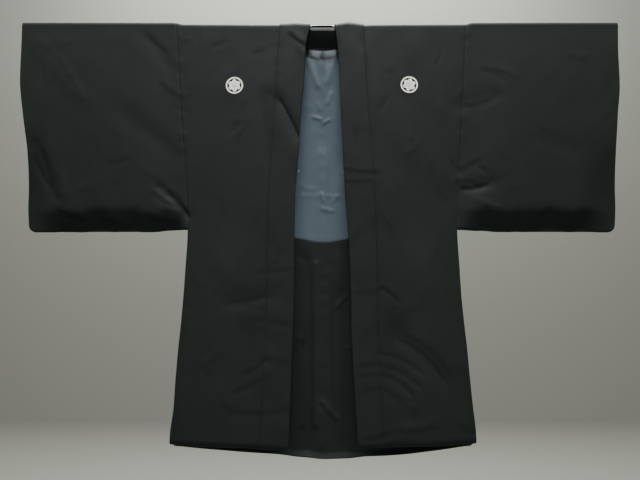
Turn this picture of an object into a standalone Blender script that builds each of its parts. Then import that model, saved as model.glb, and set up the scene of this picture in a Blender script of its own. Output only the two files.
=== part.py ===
"""A man's lined haori jacket, hung open on a straight kimono hanger.

Metres, +Z up. The front faces -Y and the wearer's left is +X. The origin is the point inside the
top of the hook that bears on a rail. Every piece of cloth is a wall on one drape surface: a line
that comes up the front, goes over the hanger's rod and down the back, at each place across the
garment. A place on it is named by x and by its path from the top of the rod, plus in front and
minus behind, and a piece is laid on it at a level, its distance out from the inside of the cloth.
"""

import math

import bpy
import numpy as np

# ---- Cloth ----
WALL = 0.0016  # lined silk: shell, lining and the air between them
LINING_WALL = 0.0010
SEAM_GAP = 0.0003
FRONT, BACK = 1, -1
WEARERS_LEFT, WEARERS_RIGHT = 1, -1

# ---- Hanger ----
ROD_RADIUS = 0.0055
ROD_HALF = {WEARERS_LEFT: 0.632, WEARERS_RIGHT: 0.640}
ROD_SIDES = 16
BLOCK_WIDTH, BLOCK_HEIGHT, BLOCK_DEPTH = 0.092, 0.0393, 0.009
BLOCK_SAG = 0.0074  # how far the block's lower edge bows down in the middle
BLOCK_CORNER = 0.004
WIRE_RADIUS = 0.002
RAIL_RADIUS = 0.007  # the rail that the hook fits
HOOK_BACK = 0.047  # from the rod's plane back to the rail
HOOK_RISE = 0.015  # from the shoulder line up to the bearing point

# ---- The drape surface ----
BEND = 0.006  # radius of the inside of the cloth over the rod
ROD_DROP = BEND + WALL  # rod's axis below the shoulder line
QUARTER = BEND * math.pi / 2  # path from the top of the rod to where the cloth hangs straight
OVER_ROD = tuple(math.radians(a) for a in (60, 30, 0, -30, -60))

LENGTH = 0.953  # shoulder line to the centre of the back hem
BODY_SPREAD = 0.018  # front and back hang this much further from the rod's plane at the hem
SPREAD_POWER = 1.35
SLEEVE_DROP = 0.4695  # shoulder line to the sleeve's lower fold
SLEEVE_RISE = 0.0060  # how much higher the fold is beside the body
SLEEVE_PLUMP = 0.0100  # a sleeve's fullness at its knee
SLEEVE_PINCH = 0.0048  # how much flatter than the rod its lower fold is
SLEEVE_KNEE, KNEE_ROUND = 0.425, 0.005  # where the sleeve turns under, and how softly
KNEE_BLEND = {WEARERS_LEFT: 0.060, WEARERS_RIGHT: 0.030}  # the seam's blend below the knee
EDGE_FLAT, EDGE_BLEND = 0.0024, 0.085  # the sewn outer edge keeps front and back together
NEAREST = 0.0009  # the inside faces come no nearer the rod's plane than this
SLEEVE_BLEND = 0.10  # distance past the armhole seam in which the body's spread dies away
SLEEVE_LIFT = 0.0042  # a sleeve's shoulder fold stands a little off the rod
COLLAR_HUMP = {WEARERS_LEFT: 0.0022, WEARERS_RIGHT: 0.0004}
HUMP_PLACE, HUMP_WIDTH = 0.058, 0.018
NECK_STAND, NECK_WIDTH, NECK_DEPTH = 0.016, 0.042, 0.050  # the back neck stands off the rod
FOLDS_START = 0.035  # the folds grow to their full height in this distance below the rod

# Half widths of the body at its side seam, under the sleeve. A row: drop below the shoulder line,
# wearer's left, wearer's right.
SIDE = (
    (0.000, 0.3230, 0.3285),
    (0.200, 0.3090, 0.3120),
    (0.468, 0.2890, 0.2890),
    (0.558, 0.2915, 0.2912),
    (0.625, 0.2940, 0.2942),
    (0.680, 0.2980, 0.2976),
    (0.725, 0.3020, 0.3012),
    (0.790, 0.3062, 0.3050),
    (0.855, 0.3112, 0.3078),
    (0.903, 0.3156, 0.3134),
    (0.953, 0.3160, 0.3138),
)
# Ends of the sleeves. A row: drop, wearer's left, wearer's right.
SLEEVE_END = (
    (0.000, 0.6640, 0.6740),
    (0.065, 0.6600, 0.6720),
    (0.150, 0.6580, 0.6685),
    (0.220, 0.6490, 0.6575),
    (0.256, 0.6450, 0.6510),
    (0.310, 0.6400, 0.6430),
    (0.380, 0.6365, 0.6390),
    (0.430, 0.6360, 0.6382),
    (0.470, 0.6325, 0.6350),
)
CUFF_FRACTION = 0.56  # how far down the sleeve the cuff stays open: a 26 cm hand opening
CORNER = 0.014  # radius of a sleeve's lower outer corner
EDGE_ROUND = 0.0025  # how far a sleeve's closed edge rounds out past its two faces
# The collar. A row: drop, its folded edge and its free edge, wearer's left then wearer's right.
COLLAR = (
    (0.000, 0.0260, 0.0915, 0.0240, 0.0955),
    (0.045, 0.0328, 0.0935, 0.0352, 0.0965),
    (0.101, 0.0372, 0.0960, 0.0384, 0.1000),
    (0.203, 0.0408, 0.1005, 0.0468, 0.1045),
    (0.285, 0.0446, 0.1065, 0.0516, 0.1100),
    (0.380, 0.0488, 0.1120, 0.0585, 0.1155),
    (0.487, 0.0560, 0.1150, 0.0602, 0.1168),
    (0.600, 0.0599, 0.1150, 0.0600, 0.1176),
    (0.700, 0.0612, 0.1165, 0.0626, 0.1186),
    (0.780, 0.0650, 0.1190, 0.0650, 0.1230),
    (0.925, 0.0728, 0.1240, 0.0698, 0.1278),
)
# Hems. A row: distance from the centre, drop of the front hem, drop of the back hem, for the
# wearer's left and then for the wearer's right.
HEM = (
    (0.000, 0.9260, 0.9520, 0.9270, 0.9520),
    (0.050, 0.9235, 0.9515, 0.9245, 0.9478),
    (0.090, 0.9185, 0.9468, 0.9215, 0.9425),
    (0.120, 0.9165, 0.9455, 0.9200, 0.9402),
    (0.180, 0.9140, 0.9424, 0.9170, 0.9371),
    (0.240, 0.9125, 0.9354, 0.9140, 0.9327),
    (0.320, 0.9090, 0.9225, 0.9105, 0.9235),
)
# Soft folds in the cloth. A row: face, then x and drop of one end, x and drop of the other, half
# width, and how far it stands out (a trough is below zero).
FOLDS = (
    (FRONT, -0.631, 0.056, -0.537, 0.168, 0.016, 0.0019),
    (FRONT, -0.625, 0.285, -0.580, 0.390, 0.013, -0.0022),
    (FRONT, -0.600, 0.290, -0.560, 0.380, 0.014, 0.0019),
    (FRONT, -0.404, 0.020, -0.347, 0.092, 0.014, -0.0014),
    (FRONT, -0.428, 0.214, -0.325, 0.300, 0.018, -0.0016),
    (FRONT, -0.345, 0.380, -0.297, 0.430, 0.013, -0.0020),
    (FRONT, 0.316, 0.190, 0.380, 0.170, 0.014, -0.0015),
    (FRONT, 0.304, 0.380, 0.360, 0.366, 0.013, -0.0023),
    (FRONT, 0.486, 0.272, 0.540, 0.290, 0.018, -0.0013),
    (FRONT, -0.093, 0.182, -0.051, 0.261, 0.013, -0.0019),
    (FRONT, -0.125, 0.190, -0.118, 0.300, 0.020, -0.0013),
    (FRONT, 0.165, 0.690, 0.246, 0.775, 0.022, -0.0019),
    (FRONT, -0.190, 0.620, -0.120, 0.610, 0.018, -0.0014),
    (FRONT, 0.215, 0.560, 0.235, 0.905, 0.045, 0.0035),
    (FRONT, -0.210, 0.560, -0.235, 0.905, 0.045, 0.0035),
    (FRONT, 0.150, 0.700, 0.150, 0.900, 0.028, -0.0022),
    (FRONT, -0.155, 0.700, -0.155, 0.900, 0.028, -0.0022),
    (BACK, -0.037, 0.540, -0.034, 0.930, 0.014, 0.0045),
    (BACK, 0.040, 0.620, 0.044, 0.930, 0.020, 0.0035),
    (BACK, 0.000, 0.300, 0.000, 0.940, 0.014, -0.0025),
    (BACK, 0.180, 0.500, 0.215, 0.900, 0.045, 0.0040),
    (BACK, -0.190, 0.500, -0.220, 0.900, 0.045, 0.0040),
    (BACK, 0.120, 0.560, 0.128, 0.900, 0.030, -0.0030),
    (BACK, -0.118, 0.560, -0.126, 0.900, 0.030, -0.0030),
    (BACK, 0.310, 0.300, 0.200, 0.200, 0.022, -0.0019),
    (BACK, -0.308, 0.290, -0.190, 0.205, 0.022, -0.0019),
    (BACK, 0.560, 0.120, 0.625, 0.260, 0.018, -0.0019),
    (BACK, -0.570, 0.110, -0.630, 0.250, 0.018, -0.0019),
)

# ---- Rows and columns of the grids ----
# Rows of the body as fractions of the way from the rod to the hem, and of a sleeve to its fold.
NECK_ROW, LINING_ROW, GUSSET_ROW = 0.0225, 0.505, 0.520
GUSSET_TOPS = (0.5072, 0.4980)  # front and back, just under the sleeve's lower fold
BODY_ROWS = (0, NECK_ROW, 0.045, 0.075, 0.11, 0.15, 0.19, 0.23, 0.275, 0.32, 0.365, 0.41, 0.455,
             LINING_ROW, 0.54, 0.59, 0.64, 0.69, 0.745, 0.80, 0.855, 0.91, 0.96, 1)  # fmt: skip
SLEEVE_ROWS = (0, 0.04, 0.10, 0.17, 0.25, 0.33, 0.41, 0.485, CUFF_FRACTION, 0.63, 0.70, 0.77,
               0.83, 0.875, 0.90, 0.915, 0.94, 0.97, 1)  # fmt: skip
SLEEVE_COLUMNS = (0, 0.08, 0.20, 0.33, 0.46, 0.60, 0.74, 0.87, 0.955, 1)
NECK_HALF = 0.088  # half width of the neck opening cut in the body
CENTRE_COLUMNS = 4  # of the back, across the neck opening
BODY_COLUMNS = (0.09, 0.24, 0.40, 0.56, 0.72, 0.87, 1)  # after the two at the collar
LINING_SAG = 0.0085  # the lining's lower edge sags in the middle, as a fraction of the length
GUSSET_TUCK = 0.006  # the gusset folds in along its middle
GUSSET_ACROSS = (0.0, 0.25, 0.5, 0.75, 1.0)

# ---- Collar ----
COLLAR_WALL = 0.0015
COLLAR_LAP = 0.006  # how far the collar's outer layer lies over the body
LAYER_GAP, NECK_LAYER_GAP = 0.0006, 0.0016
COLLAR_PUFF = 0.0012  # the outer layer's roundness
BACK_FOLD, BACK_FREE = 0.013, 0.052  # paths from the rod's top to the back collar's two edges
BACK_FOLD_HALF = 0.010  # half the straight length of the back collar's folded edge
FAN_TURNS = (15, 30, 45, 62, 80, 90)  # degrees, where the collar turns behind the neck
LOOP_DROP, LOOP_RADIUS, LOOP_THREAD = 0.342, 0.0028, 0.0009


def smoothstep(low, high, value):
    """0 below low, 1 above high, and 3t^2 - 2t^3 between them."""
    t = np.clip((np.asarray(value, float) - low) / (high - low), 0, 1)
    return t * t * (3 - 2 * t)


def read_table(table, column, place):
    """A column of a table at a place in its first column, straight between its rows."""
    rows = np.array(table)
    return np.interp(place, rows[:, 0], rows[:, column])


def by_side(x, left, right):
    return np.where(np.asarray(x) >= 0, left, right)


def body_half(x, drop):
    """Half width of the body at the seam on x's side."""
    return by_side(x, read_table(SIDE, 1, drop), read_table(SIDE, 2, drop))


def hem_drop(x, face):
    away = np.abs(x)
    columns = (1, 3) if face == FRONT else (2, 4)
    return by_side(x, *(read_table(HEM, column, away) for column in columns))


def sleeve_bottom(x, side):
    """Drop of a sleeve's lower fold, which rises round the outer corner."""
    end = read_table(SLEEVE_END, 1 if side == WEARERS_LEFT else 2, SLEEVE_DROP)
    into = np.clip((np.abs(x) - end + CORNER) / CORNER, 0, 1)
    rise = SLEEVE_RISE * (1 - smoothstep(0, SLEEVE_BLEND, np.abs(x) - body_half(x, SLEEVE_DROP)))
    return SLEEVE_DROP - rise - CORNER * (1 - np.sqrt(1 - into**2)) * 0.8


def fold_reach(x, drop, face):
    """Sum of the folds: each is a bell across its line, dying away past its ends."""
    reach = np.zeros(np.broadcast(x, drop).shape)
    for fold_face, x_a, drop_a, x_b, drop_b, width, height in FOLDS:
        length = math.hypot(x_b - x_a, drop_b - drop_a)
        along_x, along_drop = (x_b - x_a) / length, (drop_b - drop_a) / length
        along = (x - x_a) * along_x + (drop - drop_a) * along_drop
        across = (drop - drop_a) * along_x - (x - x_a) * along_drop
        past = np.maximum(0, np.maximum(-along, along - length))
        bell = height * np.exp(-((across / width) ** 2) - (past / (1.6 * width)) ** 2)
        reach = reach + np.where(face == fold_face, bell, 0)
    return reach


def sleeve_spread(x, drop):
    """The sleeve's bag: it widens evenly down to its knee, and then turns under and closes evenly
    to its lower fold. Along its sewn outer edge, below the cuff, it stays flat."""
    past = drop - SLEEVE_KNEE
    turned = (past + np.sqrt(past**2 + KNEE_ROUND**2)) / 2
    steep = SLEEVE_PLUMP / SLEEVE_KNEE + (SLEEVE_PLUMP + SLEEVE_PINCH) / (SLEEVE_DROP - SLEEVE_KNEE)
    bag = SLEEVE_PLUMP * drop / SLEEVE_KNEE - steep * turned
    end = by_side(x, read_table(SLEEVE_END, 1, drop), read_table(SLEEVE_END, 2, drop))
    sewn = smoothstep(0.22, 0.42, drop) * (1 - smoothstep(0, EDGE_BLEND, end - np.abs(x)))
    return bag + (-EDGE_FLAT - bag) * sewn


def spread(x, drop, face):
    """How much further than the rod's bend the cloth hangs from the rod's plane."""
    down = np.clip(drop, 0, None)
    body = BODY_SPREAD * (down / LENGTH) ** SPREAD_POWER
    in_sleeve = np.minimum(down, SLEEVE_DROP)
    past_seam = np.abs(x) - body_half(x, in_sleeve)
    low = smoothstep(SLEEVE_KNEE - 0.06, SLEEVE_KNEE, down)
    low = low * (1 - smoothstep(SLEEVE_DROP, SLEEVE_DROP + 0.03, down))
    blend = SLEEVE_BLEND + (by_side(x, *(KNEE_BLEND[k] for k in (1, -1))) - SLEEVE_BLEND) * low
    share = smoothstep(0, blend, past_seam)
    neck = NECK_STAND * np.exp(-((x / NECK_WIDTH) ** 2) - (down / NECK_DEPTH) ** 2)
    return body + (sleeve_spread(x, in_sleeve) - body) * share + np.where(face == BACK, neck, 0)


def lift(x):
    """How far the cloth's fold stands above the rod."""
    past_seam = np.abs(x) - body_half(x, 0)
    height = by_side(x, COLLAR_HUMP[WEARERS_LEFT], COLLAR_HUMP[WEARERS_RIGHT])
    hump = height * np.exp(-(((np.abs(x) - HUMP_PLACE) / HUMP_WIDTH) ** 2))
    return SLEEVE_LIFT * smoothstep(-0.004, 0.016, past_seam) + hump


def drape_base(x, path):
    """Inside face of the cloth: a half circle over the rod, then straight down, moved out by the
    spread and the folds. Near the top the move turns from sideways to upwards."""
    face = np.where(path >= 0, FRONT, BACK)
    turn = np.minimum(np.abs(path), QUARTER) / BEND
    hang = np.maximum(np.abs(path) - QUARTER, 0)
    drop = ROD_DROP - BEND * np.cos(turn) + hang
    level = ROD_DROP + hang
    below_rod = smoothstep(ROD_DROP, ROD_DROP + FOLDS_START, level)
    out = spread(x, level, face) + fold_reach(x, level, face) * below_rod
    out = np.maximum(out, NEAREST - BEND)
    move = lift(x) * np.cos(turn) ** 2 + out * np.sin(turn) ** 2
    y = -face * (BEND + move) * np.sin(turn)
    z = -drop + move * np.cos(turn)
    return np.stack(np.broadcast_arrays(x, y, z), axis=-1)


def drape(x, path, level):
    """Points at a level out from the inside face, along its normal."""
    x, path, level = np.broadcast_arrays(*(np.asarray(v, float) for v in (x, path, level)))
    step = 0.0004
    along_x = drape_base(x + step, path) - drape_base(x - step, path)
    along_path = drape_base(x, path + step) - drape_base(x, path - step)
    normal = np.cross(along_path, along_x)
    normal /= np.linalg.norm(normal, axis=-1, keepdims=True)
    points = drape_base(x, path) + normal * level[..., None]
    return points - np.array((0, HOOK_BACK, HOOK_RISE))


def body_path(x, fraction, face):
    """Path from the rod's top to a fraction of the way to the hem."""
    return face * (QUARTER + fraction * (hem_drop(x, face) - ROD_DROP))


def nominal_drop(fraction):
    """Drop of a body row beside the collar, where the widths are read."""
    return ROD_DROP + np.asarray(fraction, float) * (read_table(HEM, 1, HUMP_PLACE) - ROD_DROP)


def collar_edges(drop, side):
    """The collar's folded and free edges, as distances from the centre."""
    first = 1 if side == WEARERS_LEFT else 3
    return read_table(COLLAR, first, drop), read_table(COLLAR, first + 1, drop)


def panel_sides(fraction, side, face):
    """Seam at the collar, or the neck opening's edge behind, and the side seam."""
    drop = nominal_drop(fraction)
    outer = read_table(SIDE, 1 if side == WEARERS_LEFT else 2, drop)
    inner = collar_edges(drop, side)[1] - COLLAR_LAP if face == FRONT else NECK_HALF
    return inner, outer


def seam_half(side, face, drop):
    """Half width of the body at a drop on its side edge, straight between the body's rows."""
    fractions = np.array(BODY_ROWS)
    halves = panel_sides(fractions, side, face)[1]
    drops = ROD_DROP + fractions * (hem_drop(side * halves, face) - ROD_DROP)
    return np.interp(drop, drops, halves)


def cell_faces(a, b, c, d, below):
    """Both faces of one cell of a wall, each cut along the same diagonal, so that layers laid on
    one another stay parallel."""
    outside = [(a, b, c), (a, c, d)]
    return outside + [tuple(k + below for k in face[::-1]) for face in outside]


def wall_mesh(outer, inner, cells):
    """Closed wall between two grids of points, over the cells that are there."""
    rows, columns = outer.shape[:2]
    index = np.arange(rows * columns).reshape(rows, columns)
    faces = []
    below = rows * columns
    for i in range(rows - 1):
        for j in range(columns - 1):
            if not cells[i, j]:
                continue
            a, b, c, d = index[i, j], index[i, j + 1], index[i + 1, j + 1], index[i + 1, j]
            faces += cell_faces(a, b, c, d, below)
            sides = (
                (i > 0 and cells[i - 1, j], a, b),
                (j < columns - 2 and cells[i, j + 1], b, c),
                (i < rows - 2 and cells[i + 1, j], c, d),
                (j > 0 and cells[i, j - 1], d, a),
            )
            faces += [(q, p, p + below, q + below) for neighbour, p, q in sides if not neighbour]
    return np.concatenate([outer.reshape(-1, 3), inner.reshape(-1, 3)]), faces


def finish(name, colour, roughness, metallic=0.0):
    material = bpy.data.materials.new(name)
    material.use_nodes = True
    shader = material.node_tree.nodes["Principled BSDF"]
    shader.inputs["Base Color"].default_value = (*colour, 1)
    shader.inputs["Roughness"].default_value = roughness
    shader.inputs["Metallic"].default_value = metallic
    return material


def signed_volume(points, faces):
    volume = 0.0
    for face in faces:
        for k in range(1, len(face) - 1):
            a, b, c = points[face[0]], points[face[k]], points[face[k + 1]]
            volume += float(np.dot(a, np.cross(b, c)))
    return volume


def add_piece(name, points, faces, material):
    """An object from points and faces, turned to face out, without the points no face uses."""
    used = sorted({int(k) for face in faces for k in face})
    renumber = {k: n for n, k in enumerate(used)}
    faces = [tuple(renumber[int(k)] for k in face) for face in faces]
    points = np.asarray(points)[used]
    if signed_volume(points, faces) < 0:
        faces = [face[::-1] for face in faces]
    mesh = bpy.data.meshes.new(name)
    mesh.from_pydata(points.tolist(), [], faces)
    mesh.shade_smooth()
    mesh.set_sharp_from_angle(angle=math.radians(50))
    mesh.materials.append(material)
    piece = bpy.data.objects.new(name, mesh)
    bpy.context.scene.collection.objects.link(piece)
    return piece


def body_grid(side):
    """x and path of each grid point of one half of the body, front hem to back hem, and which
    cells are cloth. The first columns are the back between the centre seam and the neck's edge."""
    rows_x, rows_path, behind = [], [], []
    halves = ((FRONT, BODY_ROWS[::-1]), (BACK, BODY_ROWS))
    for face, fractions in halves:
        for fraction in fractions:
            inner, outer = panel_sides(fraction, side, face)
            centre = np.linspace(SEAM_GAP / 2, inner, CENTRE_COLUMNS + 1)[:-1]
            main = inner + np.array((0.0, *BODY_COLUMNS)) * (outer - inner)
            lapped = inner + COLLAR_LAP + 0.002
            x = side * np.concatenate([centre, main[:1], (lapped,), main[1:]])
            rows_x.append(x)
            rows_path.append(body_path(x, fraction, face))
            behind.append(face == BACK and fraction >= NECK_ROW)
        if face == FRONT:
            for angle in OVER_ROD:
                rows_x.append(rows_x[-1])
                rows_path.append(np.full(len(rows_x[-1]), BEND * angle))
                behind.append(False)
    cells = np.ones((len(rows_x) - 1, len(rows_x[0]) - 1), bool)
    for i in range(len(cells)):
        cells[i, :CENTRE_COLUMNS] = behind[i] and behind[i + 1]
    return np.array(rows_x), np.array(rows_path), cells


def blend_over_rod(x, path):
    """Columns cross from the front's places to the back's as they pass over the rod."""
    first, last = len(BODY_ROWS) - 1, len(BODY_ROWS) + len(OVER_ROD)
    share = (QUARTER - path[first : last + 1, :1]) / (2 * QUARTER)
    x = x.copy()
    x[first : last + 1] = x[first] + np.clip(share, 0, 1) * (x[last] - x[first])
    return x


def make_body(side, silk):
    x, path, cells = body_grid(side)
    x = blend_over_rod(x, path)
    name = "body_left" if side == WEARERS_LEFT else "body_right"
    return add_piece(name, *wall_mesh(drape(x, path, WALL), drape(x, path, 0), cells), silk)


def lining_edge(x):
    """Row fraction of the edge where the lining meets the facing."""
    return LINING_ROW + LINING_SAG * np.exp(-((np.asarray(x) / 0.04) ** 2))


def make_inner_layer(name, side, fractions, material):
    """Lining or facing inside the back, on the body's own rows and columns, to one column short
    of the side seam."""
    rows_x, rows_path = [], []
    for fraction in fractions:
        inner, outer = panel_sides(fraction, side, BACK)
        centre = np.linspace(SEAM_GAP / 2, inner, CENTRE_COLUMNS + 1)[:-1]
        main = inner + np.array((0.0, *BODY_COLUMNS[:-1])) * (outer - inner)
        lapped = inner + COLLAR_LAP + 0.002
        x = side * np.concatenate([centre, main[:1], (lapped,), main[1:]])
        at = np.full(x.shape, fraction)
        gap = SEAM_GAP / LENGTH
        if fraction == LINING_ROW and fraction == fractions[-1]:
            at = lining_edge(x) - gap
        elif fraction == LINING_ROW:
            at = lining_edge(x) + gap
        rows_x.append(x)
        rows_path.append(body_path(x, at, BACK))
    x, path = np.array(rows_x), np.array(rows_path)
    cells = np.ones((x.shape[0] - 1, x.shape[1] - 1), bool)
    outer_face = drape(x, path, -SEAM_GAP)
    inner_face = drape(x, path, -SEAM_GAP - LINING_WALL)
    return add_piece(name, *wall_mesh(outer_face, inner_face, cells), material)


def make_sleeve(side, silk):
    """A flat tube: over the rod at the top, folded at the bottom, open at the armhole and at the
    cuff, and joined front to back below the cuff and round the corner."""
    end_column = 1 if side == WEARERS_LEFT else 2

    def place(fractions_across, inset):
        rows_x, rows_path = [], []
        for face, fractions in ((FRONT, SLEEVE_ROWS[::-1]), (BACK, SLEEVE_ROWS)):
            for fraction in fractions:
                seam_drop = ROD_DROP + fraction * (SLEEVE_DROP - SLEEVE_RISE - ROD_DROP)
                end_drop = ROD_DROP + fraction * (SLEEVE_DROP - ROD_DROP)
                start = seam_half(side, face, seam_drop) + SEAM_GAP
                end = read_table(SLEEVE_END, end_column, end_drop) - inset
                x = start + fractions_across * (end - start)
                depth = sleeve_bottom(x, side) - inset - ROD_DROP
                rows_x.append(side * x)
                rows_path.append(face * (QUARTER + fraction * depth))
            if face == FRONT:
                for angle in OVER_ROD:
                    rows_x.append(rows_x[-1])
                    rows_path.append(np.full(len(rows_x[-1]), BEND * angle))
        return np.array(rows_x), np.array(rows_path)

    across = np.array(SLEEVE_COLUMNS)
    outer = drape(*place(across, 0), WALL)
    inner = drape(*place(across, WALL), 0)
    rows, columns = outer.shape[:2]
    below = rows * columns
    index = np.arange(below).reshape(rows, columns)
    last_row, last = rows - 1, columns - 1
    cuff = SLEEVE_ROWS[::-1].index(CUFF_FRACTION)

    faces = []
    for i in range(rows - 1):
        for j in range(columns - 1):
            a, b, c, d = index[i, j], index[i, j + 1], index[i + 1, j + 1], index[i + 1, j]
            faces += cell_faces(a, b, c, d, below)
        a, d = index[i, 0], index[i + 1, 0]
        faces.append((a, d, d + below, a + below))
        if cuff <= i < last_row - cuff:
            b, c = index[i, last], index[i + 1, last]
            faces.append((c, b, b + below, c + below))

    # The closed edge: pairs of front and back points along the fold, then up the outer edge.
    pairs = [(index[0, j], index[last_row, j]) for j in range(columns)]
    pairs += [(index[i, last], index[last_row - i, last]) for i in range(1, cuff + 1)]
    points = np.concatenate([outer.reshape(-1, 3), inner.reshape(-1, 3)])
    middles = []
    for n, (front, back) in enumerate(pairs):
        middle = (points[front] + points[back]) / 2
        half_gap = abs(points[front][1] - points[back][1]) / 2
        to_cuff = min(1.0, (len(pairs) - 1 - n) / 3)
        bulge = min(EDGE_ROUND, 0.45 * half_gap) * to_cuff
        downward = np.array((0.0, 0.0, -1.0))
        sideways = np.array((float(side), 0.0, 0.0))
        share = float(np.clip((n - last + 2) / 4, 0, 1))
        middles.append(middle + bulge * (downward * (1 - share) + sideways * share))
    first_middle = 2 * below
    points = np.concatenate([points, np.array(middles)])
    for n in range(len(pairs) - 1):
        (front_a, back_a), (front_b, back_b) = pairs[n], pairs[n + 1]
        mid_a, mid_b = first_middle + n, first_middle + n + 1
        faces += [
            (front_b, front_a, mid_a, mid_b),
            (mid_b, mid_a, back_a, back_b),
            (front_a + below, front_b + below, back_b + below, back_a + below),
        ]
    for n, turn in ((0, 1), (len(pairs) - 1, -1)):
        front, back = pairs[n]
        cap = (front, front + below, back + below, back, first_middle + n)
        faces.append(cap[::turn])
    return add_piece("sleeve_left" if side == WEARERS_LEFT else "sleeve_right", points, faces, silk)


def make_gusset(side, silk):
    """A strip between the front's and the back's side edges, tucked in along its middle."""
    rows = (None, *(row for row in BODY_ROWS if row >= GUSSET_ROW))
    across = np.array(GUSSET_ACROSS)
    outer, inner = [], []
    for row in rows:
        ends = []
        for face, top in zip((FRONT, BACK), GUSSET_TOPS):
            fraction = top if row is None else row
            half = panel_sides(fraction, side, FRONT)[1]
            edge = np.array((side * (half - 0.0004),))
            ends.append(drape(edge, body_path(edge, fraction, face), -0.0005)[0])
        front, back = ends
        line = front + across[:, None] * (back - front)
        line[:, 0] -= side * GUSSET_TUCK * np.sin(math.pi * across)
        outer.append(line)
        inner.append(line - np.array((side * WALL, 0, 0)))
    cells = np.ones((len(rows) - 1, len(across) - 1), bool)
    name = "gusset_left" if side == WEARERS_LEFT else "gusset_right"
    return add_piece(name, *wall_mesh(np.array(outer), np.array(inner), cells), silk)


def collar_stations(side):
    """One side's stations from the hem to the centre back: the folded edge and the free edge as
    (x, path), the share of the width at the seam, and the gap between the layers."""
    stations = []
    for fraction in BODY_ROWS[::-1]:
        fold, free = collar_edges(nominal_drop(fraction), side)
        seam = (free - COLLAR_LAP - SEAM_GAP - fold) / (free - fold)
        ends = [(x, float(body_path(side * x, fraction, FRONT))) for x in (fold, free)]
        stations.append((*ends, seam, LAYER_GAP))
    fold, free = collar_edges(ROD_DROP, side)
    for angle in OVER_ROD:
        ends = ((fold, BEND * angle), (free, BEND * angle))
        limit = min(free - COLLAR_LAP, NECK_HALF) - 2 * SEAM_GAP
        stations.append((*ends, (limit - fold) / (free - fold), LAYER_GAP))
    neck_path = QUARTER + NECK_ROW * (hem_drop(0.05, BACK) - ROD_DROP) - 2 * SEAM_GAP
    for degrees in (0, *FAN_TURNS):
        angle = math.radians(degrees)
        turned = degrees / 90
        fold_x = fold + (BACK_FOLD_HALF - fold) * turned
        fold_path = QUARTER + (BACK_FOLD - QUARTER) * turned
        free_x = fold_x + (free - fold) * math.cos(angle)
        free_path = fold_path + (BACK_FREE - fold_path) * math.sin(angle)
        limits = [1.0]
        if free_x > fold_x + 1e-6:
            limits.append((NECK_HALF - 2 * SEAM_GAP - fold_x) / (free_x - fold_x))
        if free_path > fold_path + 1e-6:
            limits.append((neck_path - fold_path) / (free_path - fold_path))
        gap = LAYER_GAP + (NECK_LAYER_GAP - LAYER_GAP) * min(1.0, degrees / 30)
        stations.append(((fold_x, -fold_path), (free_x, -free_path), min(limits), gap))
    return stations


def collar_section(fold, free, seam, gap, side):
    """Outside and inside points of the folded band at one station. Across the band, w runs from
    the folded edge (0) to the free edge (1)."""
    span = math.hypot(free[0] - fold[0], free[1] - fold[1])
    round_end = (2 * COLLAR_WALL + gap) / 2 / span
    top = 2 * COLLAR_WALL + gap
    middle = top / 2
    puff = COLLAR_PUFF
    outside = [
        (seam, 0.0), (seam / 2, 0.0), (round_end, 0.0), (0.25 * round_end, 0.4 * middle),
        (0.25 * round_end, 1.6 * middle), (round_end, top), (0.35, top + puff),
        (0.70, top + puff), (1.0, top),
    ]  # fmt: skip
    slit = 1.6 * round_end
    low, high = COLLAR_WALL, COLLAR_WALL + gap
    inside = [
        (seam, low), (seam / 2, low), (slit, low), (1.1 * slit, low + gap * 0.1),
        (1.1 * slit, high - gap * 0.1), (slit, high), (0.35, high + puff),
        (0.70, high + puff), (1.0, high),
    ]  # fmt: skip
    sections = []
    for line in (outside, inside):
        share, level = np.array(line).T
        x = side * (fold[0] + share * (free[0] - fold[0]))
        path = fold[1] + share * (free[1] - fold[1])
        sections.append(drape(x, path, level))
    return sections


def make_collar(silk):
    """One long band, folded along its length, from hem to hem round the neck."""
    right = [(WEARERS_RIGHT, *station) for station in collar_stations(WEARERS_RIGHT)]
    left = [(WEARERS_LEFT, *station) for station in collar_stations(WEARERS_LEFT)]
    outer, inner = [], []
    for side, fold, free, seam, gap in right + left[::-1]:
        outside, inside = collar_section(fold, free, seam, gap, side)
        outer.append(outside)
        inner.append(inside)
    outer, inner = np.array(outer), np.array(inner)
    cells = np.ones((outer.shape[0] - 1, outer.shape[1] - 1), bool)
    return add_piece("collar", *wall_mesh(outer, inner, cells), silk)


def ring_mesh(centre, radius, thread, around=14, sides=6):
    """A small ring of thread standing in the garment's plane."""
    points, faces = [], []
    for i in range(around):
        turn = 2 * math.pi * i / around
        for k in range(sides):
            roll = 2 * math.pi * k / sides
            away = radius + thread * math.cos(roll)
            offset = (away * math.cos(turn), thread * math.sin(roll), 1.25 * away * math.sin(turn))
            points.append(np.array(centre) + np.array(offset))
    for i in range(around):
        for k in range(sides):
            a, b = i * sides + k, i * sides + (k + 1) % sides
            c, d = (i + 1) % around * sides, (i + 1) % around * sides
            faces.append((a, b, c + (k + 1) % sides, d + k))
    return points, faces


def make_loop(side, silk):
    """The tie loop, at the collar's folded edge."""
    fold = collar_edges(LOOP_DROP, side)[0]
    reach = LOOP_RADIUS + LOOP_THREAD + SEAM_GAP
    edge = np.array((side * fold,))
    path = np.array((QUARTER + LOOP_DROP - ROD_DROP,))
    centre = drape(edge, path, COLLAR_WALL)[0]
    centre[0] -= side * reach
    name = "loop_left" if side == WEARERS_LEFT else "loop_right"
    return add_piece(name, *ring_mesh(centre, LOOP_RADIUS, LOOP_THREAD), silk)


def place_in_part(y, z):
    """From distances behind the rod's plane and above the shoulder line to the part's frame."""
    return y - HOOK_BACK, z - HOOK_RISE


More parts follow.
